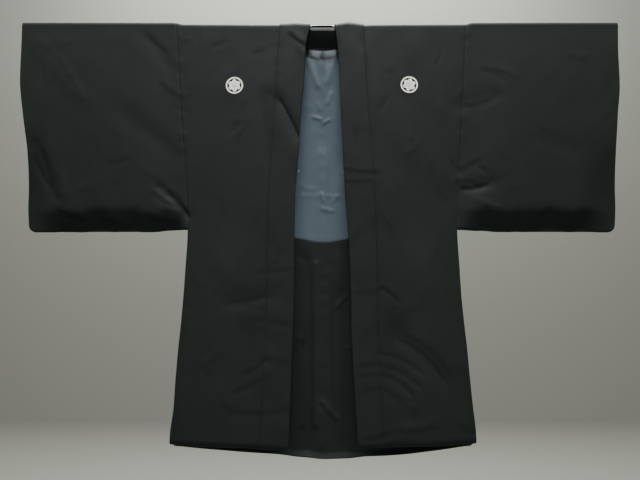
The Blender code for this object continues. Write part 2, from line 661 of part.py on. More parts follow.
def make_rod(metal):
    """A straight round bar along the shoulder line, inside both sleeves."""
    y, z = place_in_part(0, -ROD_DROP)
    points, faces = [], []
    for end in (-ROD_HALF[WEARERS_RIGHT], ROD_HALF[WEARERS_LEFT]):
        for k in range(ROD_SIDES):
            turn = 2 * math.pi * k / ROD_SIDES
            points.append((end, y + ROD_RADIUS * math.cos(turn), z + ROD_RADIUS * math.sin(turn)))
    for k in range(ROD_SIDES):
        after = (k + 1) % ROD_SIDES
        faces.append((k, after, ROD_SIDES + after, ROD_SIDES + k))
    faces += [tuple(range(ROD_SIDES))[::-1], tuple(range(ROD_SIDES, 2 * ROD_SIDES))]
    return add_piece("hanger_rod", np.array(points), faces, metal)


def make_block(plastic):
    """The moulded block that carries the rod: an outline with round corners and a bowed lower
    edge, pushed through from front to back."""
    y, top = place_in_part(0, -ROD_DROP - ROD_RADIUS - SEAM_GAP)
    half, low = BLOCK_WIDTH / 2, top - BLOCK_HEIGHT
    outline = []
    for centre_x, centre_z, start in (
        (half - BLOCK_CORNER, top - BLOCK_CORNER, 0),
        (BLOCK_CORNER - half, top - BLOCK_CORNER, 90),
    ):
        for degrees in (0, 30, 60, 90):
            turn = math.radians(start + degrees)
            outline.append(
                (centre_x + BLOCK_CORNER * math.cos(turn), centre_z + BLOCK_CORNER * math.sin(turn))
            )
    for x in np.linspace(-half, half, 11):
        outline.append((x, low - BLOCK_SAG * (1 - (x / half) ** 2)))
    count = len(outline)
    points = [(x, y + depth, z) for depth in (-BLOCK_DEPTH / 2, BLOCK_DEPTH / 2) for x, z in outline]
    faces = [(k, (k + 1) % count, count + (k + 1) % count, count + k) for k in range(count)]
    faces += [tuple(range(count))[::-1], tuple(range(count, 2 * count))]
    block = add_piece("hanger_block", np.array(points), faces, plastic)
    rounding = block.modifiers.new("rounding", "BEVEL")
    rounding.width = 0.0009
    rounding.segments = 2
    rounding.limit_method = "ANGLE"
    rounding.angle_limit = math.radians(50)
    return block


def make_hook(metal):
    """A bent wire: back over the neck from the rod, then over the rail."""
    rail_y, rail_z = HOOK_BACK, HOOK_RISE - RAIL_RADIUS
    bend = RAIL_RADIUS + WIRE_RADIUS
    foot = BEND * math.sqrt(0.5)
    line = [
        (foot + 0.0002, foot - ROD_DROP + 0.0002),
        (0.0090, -0.0005),
        (0.0150, 0.0015),
        (0.0230, 0.0028),
        (0.0310, 0.0030),
        (0.0350, 0.0032),
    ]
    for degrees in range(205, -41, -17):
        turn = math.radians(degrees)
        line.append((rail_y + bend * math.cos(turn), rail_z + bend * math.sin(turn)))
    curve = bpy.data.curves.new("hanger_hook", "CURVE")
    curve.dimensions = "3D"
    curve.bevel_depth = WIRE_RADIUS
    curve.bevel_resolution = 2
    curve.use_fill_caps = True
    spline = curve.splines.new("POLY")
    spline.points.add(len(line) - 1)
    for point, (y, z) in zip(spline.points, line):
        point.co = (0, *place_in_part(y, z), 1)
    curve.materials.append(metal)
    hook = bpy.data.objects.new("hanger_hook", curve)
    bpy.context.scene.collection.objects.link(hook)
    return hook


def main():
    for piece in list(bpy.data.objects):
        bpy.data.objects.remove(piece)
    silk = finish("black_silk", (0.020, 0.024, 0.023), 0.75)
    lining_silk = finish("blue_lining", (0.080, 0.105, 0.140), 0.60)
    aluminium = finish("anodised_aluminium", (0.55, 0.56, 0.56), 0.30, 1.0)
    steel = finish("black_steel", (0.020, 0.020, 0.022), 0.35)
    plastic = finish("gloss_plastic", (0.012, 0.012, 0.014), 0.15)

    lined = [row for row in BODY_ROWS if NECK_ROW <= row <= LINING_ROW]
    faced = [row for row in BODY_ROWS if row >= LINING_ROW]
    for side, word in ((WEARERS_LEFT, "left"), (WEARERS_RIGHT, "right")):
        make_body(side, silk)
        make_sleeve(side, silk)
        make_gusset(side, silk)
        make_inner_layer("lining_" + word, side, lined, lining_silk)
        make_inner_layer("facing_" + word, side, faced, silk)
        make_loop(side, silk)
    make_collar(silk)
    make_rod(aluminium)
    make_block(plastic)
    make_hook(steel)


main()
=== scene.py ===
"""A man's lined haori, hung open on a straight kimono hanger: its cloth, sewing and finishes.

Metres, +Z up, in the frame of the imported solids. The front faces -Y, the wearer's left is +X and
the origin is where the hook bears on its rail. All the cloth lies on one drape surface: at each
place across the garment, a line comes up the front, goes over the hanger's rod and down the back.
A place on it is named by x and by its path from the top of the rod, plus in front and minus
behind, and a piece lies on it at a level, its distance out from the inside of the cloth.
"""

import math

import bpy
import numpy as np
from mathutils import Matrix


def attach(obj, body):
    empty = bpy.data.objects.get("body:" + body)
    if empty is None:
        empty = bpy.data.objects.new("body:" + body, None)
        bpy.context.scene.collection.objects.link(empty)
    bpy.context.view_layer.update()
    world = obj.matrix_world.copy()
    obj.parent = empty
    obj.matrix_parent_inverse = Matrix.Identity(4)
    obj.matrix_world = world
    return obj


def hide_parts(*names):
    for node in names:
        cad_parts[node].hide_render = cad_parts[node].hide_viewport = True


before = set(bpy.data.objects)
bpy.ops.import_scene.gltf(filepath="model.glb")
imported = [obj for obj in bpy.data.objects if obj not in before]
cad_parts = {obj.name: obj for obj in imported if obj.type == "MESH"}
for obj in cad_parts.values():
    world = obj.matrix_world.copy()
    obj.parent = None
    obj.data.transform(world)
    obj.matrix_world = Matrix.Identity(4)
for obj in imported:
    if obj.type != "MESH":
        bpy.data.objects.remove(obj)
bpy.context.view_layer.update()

# ---- Cloth ----
WALL = 0.0016  # lined silk: shell, lining and the air between them
LINING_WALL = 0.0010
SEAM_GAP = 0.0003
FRONT, BACK = 1, -1
WEARERS_LEFT, WEARERS_RIGHT = 1, -1
SIDES = ((WEARERS_LEFT, "left"), (WEARERS_RIGHT, "right"))
COLUMN = {WEARERS_LEFT: 1, WEARERS_RIGHT: 2}  # of a table with a column for each side

# ---- The drape surface ----
BEND = 0.006  # radius of the inside of the cloth over the rod
ROD_DROP = BEND + WALL  # rod's axis below the shoulder line
QUARTER = BEND * math.pi / 2  # path from the top of the rod to where the cloth hangs straight
HOOK_BACK, HOOK_RISE = 0.047, 0.015  # from the rod's plane and the shoulder line to the origin
LENGTH = 0.953
BODY_SPREAD, SPREAD_POWER = 0.018, 1.35
SLEEVE_DROP, SLEEVE_RISE = 0.4695, 0.0060
SLEEVE_PLUMP, SLEEVE_PINCH, SLEEVE_BLEND, SLEEVE_LIFT = 0.0100, 0.0048, 0.10, 0.0042
SLEEVE_KNEE, KNEE_ROUND = 0.425, 0.005  # where the sleeve's bag turns under, and how softly
KNEE_WAVES = ((0.003, 31, 0), (0.0025, 83, 1), (0.0012, 190, 0))  # height, radians a metre, start
KNEE_RISE, KNEE_RISE_PLACE, KNEE_RISE_WIDTH = 0.007, 0.47, 0.035  # the knee is higher here
KNEE_BLEND = (0.060, 0.030)  # the seam's blend below the knee: wearer's left, right
KNEE_REACH = (0.06, 0.03)  # that blend comes in above the knee, and goes out below the lower fold
EDGE_FLAT, EDGE_BLEND = 0.0024, 0.085  # the sewn outer edge keeps front and back together
SEWN_DROPS = (0.22, 0.42)  # where it starts to, and where it does so fully
COLLAR_HUMP = (0.0036, 0.0018)  # wearer's left, right
LIFT_START, LIFT_BLEND = (-0.004, -0.018), 0.020  # where a sleeve's rise begins, from its seam
HUMP_PLACE, HUMP_WIDTH = 0.058, 0.018
NECK_STAND, NECK_WIDTH, NECK_DEPTH = 0.016, 0.042, 0.050
FOLDS_START = 0.035
NEAREST = 0.0009  # the inside faces of front and back come no nearer the rod's plane than this
NEAREST_ROUND = 0.0006  # how softly they stop there
# Beside the hanger's block they stay off it: where that ends across, and where it ends down.
BLOCK_ROOM_SIDE, BLOCK_ROOM_DROP = (0.050, 0.062), (0.080, 0.100)


def millimetres(*rows):
    return np.array(rows) / 1000


# All the tables are in millimetres.
# Half widths of the body at its side seam: drop below the shoulder line, wearer's left, right.
SIDE = millimetres(
    (0, 323, 328.5),
    (200, 309, 312),
    (468, 289, 289),
    (558, 291.5, 291.2),
    (625, 294, 294.2),
    (680, 298, 297.6),
    (725, 302, 301.2),
    (790, 306.2, 305),
    (855, 311.2, 307.8),
    (903, 315.6, 313.4),
    (953, 316, 313.8),
)
# Ends of the sleeves: drop, wearer's left, right.
SLEEVE_END = millimetres(
    (0, 664, 674),
    (65, 660, 672),
    (150, 658, 668.5),
    (220, 649, 657.5),
    (256, 645, 651),
    (310, 640, 643),
    (380, 636.5, 639),
    (430, 636, 638.2),
    (470, 632.5, 635),
)
CUFF_FRACTION = 0.56  # how far down the sleeve the cuff stays open
CORNER = 0.014  # radius of a sleeve's lower outer corner
EDGE_ROUND = 0.0025  # how far a sleeve's closed edge rounds out past its two faces
EDGE_ROUND_SHARE = 0.45  # but no more than this share of the gap between them
CUFF_EASE = 8  # rows by the cuff over which the rounding dies away
# The collar: drop, its folded edge and its free edge, wearer's left then wearer's right.
COLLAR = millimetres(
    (0, 26, 91.5, 24, 95.5),
    (45, 32.8, 93.5, 35.2, 96.5),
    (101, 37.2, 96, 38.4, 100),
    (203, 40.8, 100.5, 46.8, 104.5),
    (285, 44.6, 106.5, 51.6, 110),
    (380, 48.8, 112, 58.5, 115.5),
    (487, 56, 115, 60.2, 116.8),
    (600, 59.9, 115, 60, 117.6),
    (700, 61.2, 116.5, 62.6, 118.6),
    (780, 65, 119, 65, 123),
    (925, 72.8, 124, 69.8, 127.8),
)
# Hems: distance from the centre, drop of the front hem and of the back hem, left and then right.
HEM = millimetres(
    (0, 926, 952, 927, 952),
    (50, 923.5, 951.5, 924.5, 947.8),
    (90, 918.5, 946.8, 921.5, 942.5),
    (120, 916.5, 945.5, 920, 940.2),
    (180, 914, 942.4, 917, 937.1),
    (240, 912.5, 935.4, 914, 932.7),
    (320, 909, 922.5, 910.5, 923.5),
)

# ---- Folds ----
# Large soft folds: x and drop of one end, x and drop of the other, half width, and how far it
# stands out (a trough is below zero).
FOLDS = {
    FRONT: millimetres(
        (-631, 56, -537, 168, 16, 0.9),
        (-625, 285, -580, 390, 13, -1.6),
        (-600, 290, -560, 380, 14, 1.2),
        (-404, 20, -347, 92, 14, -0.9),
        (-428, 214, -325, 300, 20, -0.9),
        (-345, 380, -297, 430, 13, -1.5),
        (316, 190, 380, 170, 14, -0.9),
        (304, 380, 360, 366, 13, -1.7),
        (486, 272, 540, 290, 18, -0.7),
        (-93, 182, -51, 261, 13, -1.9),
        (-125, 190, -118, 300, 20, -1.3),
        (165, 690, 246, 775, 22, -1.9),
        (-190, 620, -120, 610, 18, -1.4),
        (215, 560, 235, 905, 45, 3.5),
        (-210, 560, -235, 905, 45, 3.5),
        (150, 700, 150, 900, 28, -2.2),
        (-155, 700, -155, 900, 28, -2.2),
    ),
    BACK: millimetres(
        (-37, 540, -34, 930, 14, 4.5),
        (40, 620, 44, 930, 20, 3.5),
        (0, 300, 0, 940, 14, -2.5),
        (180, 500, 215, 900, 45, 4),
        (-190, 500, -220, 900, 45, 4),
        (120, 560, 128, 900, 30, -3),
        (-118, 560, -126, 900, 30, -3),
        (310, 300, 200, 200, 22, -1.9),
        (-308, 290, -190, 205, 22, -1.9),
        (560, 120, 625, 260, 18, -1.9),
        (-570, 110, -630, 250, 18, -1.9),
    ),
}
FOLD_END, FOLD_MARGIN = 1.6, 5  # where a fold has died away, and is left out, in half widths
CREASE_LEAN, LEAN_GENTLE = 0.38, 1.6  # the second: how much more a lean widens the gentler side
PUSHED_WIDTH, PUSHED_HEIGHT = 2.4, 0.22  # the cloth pushed up beside a crease, as its shares
# Creases and small ridges of the outer cloth, in the same columns, and then how far the line bows
# sideways in its middle.
CREASES = {
    FRONT: millimetres(
        # sleeve on the wearer's right, front
        (-628, 49, -561, 121, 6, 0.6, -8),
        (-561, 121, -530, 170, 7, 0.5, -2),
        (-610, 298, -567, 399, 4.2, -1.5, 4),
        (-621, 298, -573, 392, 5.5, 0.9, 3),
        (-627, 314, -586, 380, 5, -1.4, 2),
        (-398, 19, -349, 69, 5.5, -0.9, 3),
        (-350, 140, -314, 167, 6.5, 0.7, 2),
        (-330, 391, -289, 436, 4.2, -3, -3),
        (-361, 392, -311, 417, 5.5, -1.2, 4),
        (-352, 372, -318, 388, 4.5, -0.9, 2),
        (-366, 436, -318, 446, 6, 1.2, 2),
        (-470, 441, -430, 452, 6, 1, -2),
        (-566, 428, -520, 446, 7, -1.2, 2),
        # sleeve on the wearer's left, front
        (388, 105, 425, 124, 5.5, 0.6, -2),
        (362, 111, 396, 128, 6, -0.7, -3),
        (316, 189, 367, 173, 6.5, 0.8, 3),
        (316, 329, 336, 318, 4.5, -1, 1),
        (345, 330, 359, 342, 4, -1, 1),
        (305, 377, 352, 370, 3.8, -2.6, 3),
        (314, 362, 338, 372, 3.6, -1.2, -1),
        (334, 404, 374, 420, 6, 1, 2),
        # chest and collar on the wearer's right
        (-90, 184, -53, 260, 4.2, -2.2, -2),
        (-70, 30, -38, 55, 5, -2, 1),
        # chest and collar on the wearer's left
        (53, 338, 118, 343, 4.5, -0.8, 3),
        (60, 366, 100, 362, 5, -0.5, 1),
        # skirt on the wearer's right
        (-193, 626, -122, 610, 6, -1, 2),
        (-160, 632, -122, 640, 7, -0.6, -2),
        (-130, 560, -78, 555, 6, -0.6, 1),
        (-128, 660, -66, 668, 6, -0.6, 2),
        (-158, 768, -118, 742, 6, -0.9, 3),
        (-180, 806, -118, 775, 6.5, -0.9, 4),
        (-126, 742, -72, 750, 5.5, -0.7, -2),
        (-198, 838, -136, 850, 8, -1, 8),
        (-124, 850, -74, 842, 7, -0.7, 2),
        # skirt on the wearer's left
        (128, 594, 159, 619, 4.5, -1.6, -2),
        (62, 604, 122, 600, 6, -0.6, 2),
        (163, 702, 247, 777, 5.5, -1.2, -10),
        (182, 690, 262, 760, 8, 0.8, -10),
        (120, 729, 206, 768, 5.5, -1, -8),
        (83, 755, 196, 790, 6, -0.8, -14),
        (83, 776, 182, 808, 6, -1, -17),
        (90, 806, 160, 826, 6.5, -0.6, -12),
        (90, 900, 132, 892, 5.5, -1.2, 2),
        (160, 880, 225, 870, 8, 0.9, 4),
        (286, 876, 310, 890, 5.5, -1.1, 2),
    ),
    BACK: millimetres(
        # the back has had the same sort of wear
        (330, 60, 372, 120, 7, -1.3, 4),
        (-335, 50, -380, 115, 7, -1.3, -4),
        (300, 350, 350, 400, 5, -2.4, 3),
        (-300, 345, -352, 398, 5, -2.4, -3),
        (240, 215, 290, 300, 9, -1.1, 6),
        (-235, 220, -285, 310, 9, -1.1, -6),
        (-150, 385, 140, 388, 5.5, -0.7, 2),
        (60, 720, 170, 745, 7, -1.2, -10),
        (-190, 690, -80, 700, 7, -1.1, 8),
        (100, 850, 190, 870, 8, -1.1, -6),
        (-240, 800, -200, 850, 8, -1, 4),
    ),
}
# Short faint wrinkles all over, as silk gets in wear: their places, turns, lengths and heights.
chance = np.random.default_rng(11)
WRINKLES, WRINKLE_BOW = 260, 0.1
wrinkle_x = chance.uniform(-0.66, 0.66, WRINKLES)
wrinkle_drop = chance.uniform(0.03, 0.93, WRINKLES)
wrinkle_turn = chance.normal(0.9, 0.55, WRINKLES) * chance.choice((-1, 1), WRINKLES)
wrinkle_length = chance.uniform(0.012, 0.042, WRINKLES)
wrinkle_width = chance.uniform(0.0030, 0.0065, WRINKLES)
wrinkle_height = chance.uniform(0.045, 0.095, WRINKLES) * wrinkle_width
wrinkle_height = wrinkle_height * chance.choice((-1, 1), WRINKLES)
wrinkle_face = chance.choice((FRONT, FRONT, BACK), WRINKLES)
# Small folds of the lining and the facing, which stand off the back cloth towards the wearer: x
# and drop of one end, x and drop of the other, half width, how far, and bow.
LINING_FOLDS = millimetres(
    (-32, 82, -11, 138, 5.5, 1.8, 0),
    (31, 72, 13, 128, 6, 1.4, 0),
    (20, 159, 13, 180, 3, 1.6, 0),
    (-9, 182, -6, 194, 3, 1.2, 0),
    (-18, 212, -6, 216, 3, 1.5, 0),
    (6, 224, 14, 219, 3, 1.4, 0),
    (24, 402, 33, 391, 3, 1.3, 0),
    (1, 419, 20, 423, 4, 1.4, 0),
    (-3, 385, 1, 402, 3, 1.2, 0),
    (12, 100, 8, 420, 5, 0.7, 0),
    (-20, 250, -24, 440, 8, 0.6, 0),
    (-45, 540, -43, 700, 6, 2.6, 0),
    (-15, 540, -14, 880, 6, 3, 0),
    (-48, 700, -44, 880, 6, 3, 0),
    (-4, 860, -2, 925, 6, 1.6, 0),
    (32, 632, 49, 613, 4, 1.6, 0),
    (1, 837, 29, 869, 4.5, 2.2, 0),
    (36, 530, 40, 896, 8, 2, 0),
    (14, 560, 18, 850, 6, 1.4, 0),
    (-150, 150, -90, 330, 10, 1.4, 10),
    (160, 160, 100, 350, 10, 1.4, -10),
    (-180, 620, -110, 640, 8, 1.4, 4),
    (100, 700, 180, 730, 8, 1.4, 4),
)
# Low waves all over, from long to short: each has its own direction, length and start.
WAVES = 26
WAVE_LENGTH = np.geomspace(0.190, 0.022, WAVES)
WAVE_TURN = chance.uniform(-1.25, 1.25, WAVES)  # how far each leans from running straight down
WAVE_START = chance.uniform(0, 2 * math.pi, (WAVES, 2))
WAVE_SLOPE = 0.0046
PUCKER = {"armhole": 0.00022, "collar": 0.00014, "centre back": 0.00016, "side": 0.00014}
PUCKER_REACH = 0.009  # how far from a seam its small gathers die away

# ---- Grids ----
NECK_ROW, LINING_ROW = 0.0225, 0.505
GUSSET_ROWS = (0.5072, 0.4980)  # front and back, just under the sleeve's lower fold
NECK_HALF = 0.088  # half width of the neck opening cut in the body
LINING_SAG, LINING_SAG_WIDTH, LINING_SAG_REACH = 0.0085, 0.04, 0.12  # its lower edge, in rows
LINING_SLACK, LINING_SLACK_WIDTH = 0.0004, 0.02
LINING_RIPPLE = 0.00025
LINING_GATHER, LINING_GATHER_LENGTH, LINING_GATHER_REACH = 0.00018, 0.033, 0.007
FELLED = 0.87  # it is felled to the side seam's allowance, short of the seam
GUSSET_WIDTH, GUSSET_TUCK = 0.05, 0.006
GUSSET_INSET, GUSSET_LEVEL = 0.0004, -0.0005  # from the side seams, and on the drape
GUSSET_RIPPLE, GUSSET_RIPPLE_LENGTH = 0.0005, 0.09
FACING_ROLL, FACING_ROLL_PLACE, FACING_ROLL_HEIGHT = 0.0012, 0.006, 0.0035
ROUNDED = (0.0, 0.003, 0.006, 0.010, 0.015)  # columns by a seam, where the cloth turns under
SEAM_DIP, SEAM_ROUND = 0.00048, 0.0046  # the turn under: how deep, and over what width
HEM_CURL, HEM_CURL_HEIGHT = 0.0050, 0.010  # the hem's lower edge curls in
HEM_ROLL, HEM_ROLL_HEIGHT = 0.0010, 0.0045  # and is rolled thicker
HEM_ROLL_INSIDE = 0.3  # the roll's share on the inside, in front
BESIDE_COLLAR = 0.001  # the body turns under this far past the collar's free edge

# ---- Collar ----
COLLAR_WALL = 0.0015
COLLAR_LAP = 0.006
LAYER_GAP, NECK_LAYER_GAP = 0.0006, 0.0016
COLLAR_PUFF = 0.0012
BACK_FOLD, BACK_FREE, BACK_FOLD_HALF = 0.013, 0.052, 0.010
LOOP_DROP, LOOP_RADIUS, LOOP_THREAD = 0.342, 0.0028, 0.0009

# ---- Hanger ----
ROD_RADIUS = 0.0055
ROD_HALF = {WEARERS_LEFT: 0.632, WEARERS_RIGHT: 0.640}
BLOCK_WIDTH, BLOCK_HEIGHT, BLOCK_DEPTH = 0.092, 0.0393, 0.009
BLOCK_SAG, BLOCK_CORNER = 0.0074, 0.004
WIRE_RADIUS, RAIL_RADIUS = 0.002, 0.007
WIRE_END = 0.0016  # length over which the wire's end rounds off
# The wire over the neck: y behind the rod and height above the shoulder line.
HOOK_LINE = millimetres((9, -0.5), (15, 1.5), (23, 2.8), (31, 3.0), (35, 3.2))


# ======== Shape of the cloth ========


def smoothstep(low, high, value):
    """0 below low, 1 above high, and 3t^2 - 2t^3 between them."""
    t = np.clip((np.asarray(value, float) - low) / (high - low), 0, 1)
    return t * t * (3 - 2 * t)


def read_table(table, column, place):
    """A smooth curve through a column of a table: cubic pieces whose slope at each row is the
    mean of the slopes on its two sides."""
    at, value = table[:, 0], table[:, column]
    steps = np.diff(value) / np.diff(at)
    slope = np.concatenate([steps[:1], (steps[:-1] + steps[1:]) / 2, steps[-1:]])
    place = np.clip(np.asarray(place, float), at[0], at[-1])
    k = np.clip(np.searchsorted(at, place, side="right") - 1, 0, len(at) - 2)
    span = at[k + 1] - at[k]
    t = (place - at[k]) / span
    start = (1 + 2 * t) * (1 - t) ** 2 * value[k] + t * (1 - t) ** 2 * span * slope[k]
    end = t * t * (3 - 2 * t) * value[k + 1] + t * t * (t - 1) * span * slope[k + 1]
    return start + end


def by_side(x, left, right):
    return np.where(np.asarray(x) >= 0, left, right)


def read_by_side(table, x, place, columns=(1, 2)):
    return by_side(x, *(read_table(table, column, place) for column in columns))


def body_half(x, drop):
    """Half width of the body at the seam on x's side."""
    return read_by_side(SIDE, x, drop)


def hem_drop(x, face):
    return read_by_side(HEM, x, np.abs(x), (1, 3) if face == FRONT else (2, 4))


def sleeve_bottom(x, side):
    """Drop of a sleeve's lower fold, which rises round the outer corner."""
    end = read_table(SLEEVE_END, COLUMN[side], SLEEVE_DROP)
    into = np.clip((np.abs(x) - end + CORNER) / CORNER, 0, 1)
    rise = SLEEVE_RISE * (1 - smoothstep(0, SLEEVE_BLEND, np.abs(x) - body_half(x, SLEEVE_DROP)))
    return SLEEVE_DROP - rise - CORNER * (1 - np.sqrt(1 - into**2)) * 0.8


def bell(x, drop, x_a, drop_a, x_b, drop_b, width, height, bow=0.0, lean=0.0):
    """One fold: a bell across its line, which bows sideways by bow * 4t(1 - t) and dies away past
    its ends. lean makes one side of the bell steeper and the other gentler: it is the lower side of
    a ridge and the upper side of a groove, where cloth hangs over itself."""
    length = math.hypot(x_b - x_a, drop_b - drop_a)
    along_x, along_drop = (x_b - x_a) / length, (drop_b - drop_a) / length
    along = (x - x_a) * along_x + (drop - drop_a) * along_drop
    t = np.clip(along / length, 0, 1)
    across = (drop - drop_a) * along_x - (x - x_a) * along_drop - bow * 4 * t * (1 - t)
    past = np.maximum(0, np.maximum(-along, along - length))
    steep = across * along_x * height > 0
    wide = width * np.where(steep, 1 - lean, 1 + LEAN_GENTLE * lean)
    return height * np.exp(-((across / wide) ** 2) - (past / (FOLD_END * width)) ** 2)


def fold_reach(x, drop, face):
    """Sum of the large folds and the creases on this face. A crease tapers to its second end, and
    the cloth by its side is pushed up a little."""
    x, drop, face = np.broadcast_arrays(x, drop, face)
    reach = np.zeros(x.shape)

    def add(fold_face, x_a, drop_a, x_b, drop_b, width, height, bow=0.0, lean=0.0):
        margin = FOLD_MARGIN * width + abs(bow)
        near = (face == fold_face) & (x > min(x_a, x_b) - margin) & (x < max(x_a, x_b) + margin)
        near &= (drop > min(drop_a, drop_b) - margin) & (drop < max(drop_a, drop_b) + margin)
        line = (x_a, drop_a, x_b, drop_b)
        reach[near] += bell(x[near], drop[near], *line, width, height, bow, lean)

    for fold_face, folds in FOLDS.items():
        for fold in folds:
            add(fold_face, *fold)
    wrinkles = (wrinkle_x, wrinkle_drop, wrinkle_turn, wrinkle_length, wrinkle_width)
    for x_a, drop_a, turn, length, width, height, side in zip(
        *wrinkles, wrinkle_height, wrinkle_face
    ):
        x_b, drop_b = x_a + length * math.cos(turn), drop_a + length * math.sin(turn)
        add(side, x_a, drop_a, x_b, drop_b, width, height, WRINKLE_BOW * length)
    for fold_face, creases in CREASES.items():
        for *line, width, height, bow in creases:
            add(fold_face, *line, width, height, bow, CREASE_LEAN)
            add(fold_face, *line, PUSHED_WIDTH * width, -PUSHED_HEIGHT * height, bow)
    return reach


def waves(x, drop, face):
    """Sum of sines with one slope, so that the long ones are high and the short ones low. Each
    comes and goes over a quarter of a metre, and those behind aren't those in front."""
    height = np.zeros(np.broadcast(x, drop).shape)
    for length, turn, (start, patch) in zip(WAVE_LENGTH, WAVE_TURN, WAVE_START):
        number = 2 * math.pi / length
        phase = number * (x * math.cos(turn) + drop * math.sin(turn)) + start + 1.7 * face
        here = 0.5 + 0.5 * np.sin(17 * x * math.sin(turn) + 21 * drop + patch + 2 * face)
        phase = phase + 2.2 * np.sin(9 * x - 7 * drop)
        height = height + WAVE_SLOPE / number * here * np.sin(phase)
    return height


def puckers(x, drop, face):
    """Small gathers along each seam: a sine down the seam that dies away beside it."""
    away = np.abs(x)
    gather = np.sin(2 * math.pi * drop / 0.041 + 3.4 * np.sin(19 * drop) + 9 * x)
    gather = gather * (0.55 + 0.45 * np.sin(33 * drop + 4 * x))
    free = read_by_side(COLLAR, x, drop, (2, 4))
    places = (
        ("armhole", away - body_half(x, np.minimum(drop, SLEEVE_DROP)), True),
        ("side", away - body_half(x, drop), True),
        ("collar", away - free, face == FRONT),
        ("centre back", away, face == BACK),
    )
    height = 0
    for seam, distance, present in places:
        near = np.exp(-((distance / PUCKER_REACH) ** 2))
        height = height + np.where(present, PUCKER[seam] * near, 0) * gather
    return height


def sleeve_spread(x, drop):
    """The sleeve's bag: it widens evenly down to its knee, and then turns under and closes evenly
    to its lower fold. Along its sewn outer edge, below the cuff, it stays flat."""
    knee = SLEEVE_KNEE
    for height, number, start in KNEE_WAVES:
        knee = knee + height * np.sin(number * x + start)
    knee = knee - KNEE_RISE * np.exp(-(((x - KNEE_RISE_PLACE) / KNEE_RISE_WIDTH) ** 2))
    past = drop - knee
    turned = (past + np.sqrt(past**2 + KNEE_ROUND**2)) / 2
    steep = SLEEVE_PLUMP / SLEEVE_KNEE + (SLEEVE_PLUMP + SLEEVE_PINCH) / (SLEEVE_DROP - SLEEVE_KNEE)
    bag = SLEEVE_PLUMP * drop / SLEEVE_KNEE - steep * turned
    end = read_by_side(SLEEVE_END, x, drop)
    sewn = smoothstep(*SEWN_DROPS, drop) * (1 - smoothstep(0, EDGE_BLEND, end - np.abs(x)))
    return bag + (-EDGE_FLAT - bag) * sewn


def spread(x, drop, face):
    """How much further than the rod's bend the cloth hangs from the rod's plane."""
    down = np.clip(drop, 0, None)
    body = BODY_SPREAD * (down / LENGTH) ** SPREAD_POWER
    in_sleeve = np.minimum(down, SLEEVE_DROP)
    past_seam = np.abs(x) - body_half(x, in_sleeve)
    low = smoothstep(SLEEVE_KNEE - KNEE_REACH[0], SLEEVE_KNEE, down)
    low = low * (1 - smoothstep(SLEEVE_DROP, SLEEVE_DROP + KNEE_REACH[1], down))
    blend = SLEEVE_BLEND + (by_side(x, *KNEE_BLEND) - SLEEVE_BLEND) * low
    share = smoothstep(0, blend, past_seam)
    neck = NECK_STAND * np.exp(-((x / NECK_WIDTH) ** 2) - (down / NECK_DEPTH) ** 2)
    return body + (sleeve_spread(x, in_sleeve) - body) * share + np.where(face == BACK, neck, 0)


def lift(x):
    """How far the cloth's fold stands above the rod."""
    past_seam = np.abs(x) - body_half(x, 0)
    hump = by_side(x, *COLLAR_HUMP) * np.exp(-(((np.abs(x) - HUMP_PLACE) / HUMP_WIDTH) ** 2))
    return SLEEVE_LIFT * smoothstep(0, LIFT_BLEND, past_seam - by_side(x, *LIFT_START)) + hump


def from_hem(x, path):
    """Distance up the cloth from the hem, beside the body's seams and within them."""
    hem = np.where(path >= 0, hem_drop(x, FRONT), hem_drop(x, BACK))
    return np.maximum(QUARTER + hem - ROD_DROP - np.abs(path), 0)


def drape_base(x, path):
    """Inside face of the cloth: a half circle over the rod, then straight down, moved out by the
    spread and the folds. Near the top the move turns from sideways to upwards. Front and back
    come no nearer each other than two cloths that touch."""
    face = np.where(path >= 0, FRONT, BACK)
    turn = np.minimum(np.abs(path), QUARTER) / BEND
    hang = np.maximum(np.abs(path) - QUARTER, 0)
    drop = ROD_DROP - BEND * np.cos(turn) + hang
    level = ROD_DROP + hang
    below_rod = smoothstep(ROD_DROP, ROD_DROP + FOLDS_START, level)
    folds = fold_reach(x, level, face) + waves(x, level, face) + puckers(x, level, face)
    curl = HEM_CURL * (1 - np.clip(from_hem(x, path) / HEM_CURL_HEIGHT, 0, 1)) ** 2
    out = spread(x, level, face) + folds * below_rod - curl
    by_block = 1 - smoothstep(*BLOCK_ROOM_SIDE, np.abs(x))
    by_block = by_block * (1 - smoothstep(*BLOCK_ROOM_DROP, level))
    least = NEAREST - BEND + (BLOCK_DEPTH / 2 + SEAM_GAP - NEAREST) * by_block
    out = least + (out - least + np.sqrt((out - least) ** 2 + NEAREST_ROUND**2)) / 2
    move = lift(x) * np.cos(turn) ** 2 + out * np.sin(turn) ** 2
    y = -face * (BEND + move) * np.sin(turn)
    z = -drop + move * np.cos(turn)
    return np.stack(np.broadcast_arrays(x, y, z), axis=-1)


def drape(x, path, *levels):
    """Points at each level out from the inside face, along its normal."""
    x, path = np.broadcast_arrays(np.asarray(x, float), np.asarray(path, float))
    step = 0.0004
    along_x = drape_base(x + step, path) - drape_base(x - step, path)
    along_path = drape_base(x, path + step) - drape_base(x, path - step)
    normal = np.cross(along_path, along_x)
    normal /= np.linalg.norm(normal, axis=-1, keepdims=True)
    base = drape_base(x, path) - np.array((0, HOOK_BACK, HOOK_RISE))
    layers = [base + normal * np.broadcast_to(level, x.shape)[..., None] for level in levels]
    return layers[0] if len(layers) == 1 else layers


def body_path(x, fraction, face):
    """Path from the rod's top to a fraction of the way to the hem."""
    return face * (QUARTER + fraction * (hem_drop(x, face) - ROD_DROP))


def hanging_path(drop):
    """Path in front to a drop below the shoulder line."""
    return QUARTER + drop - ROD_DROP


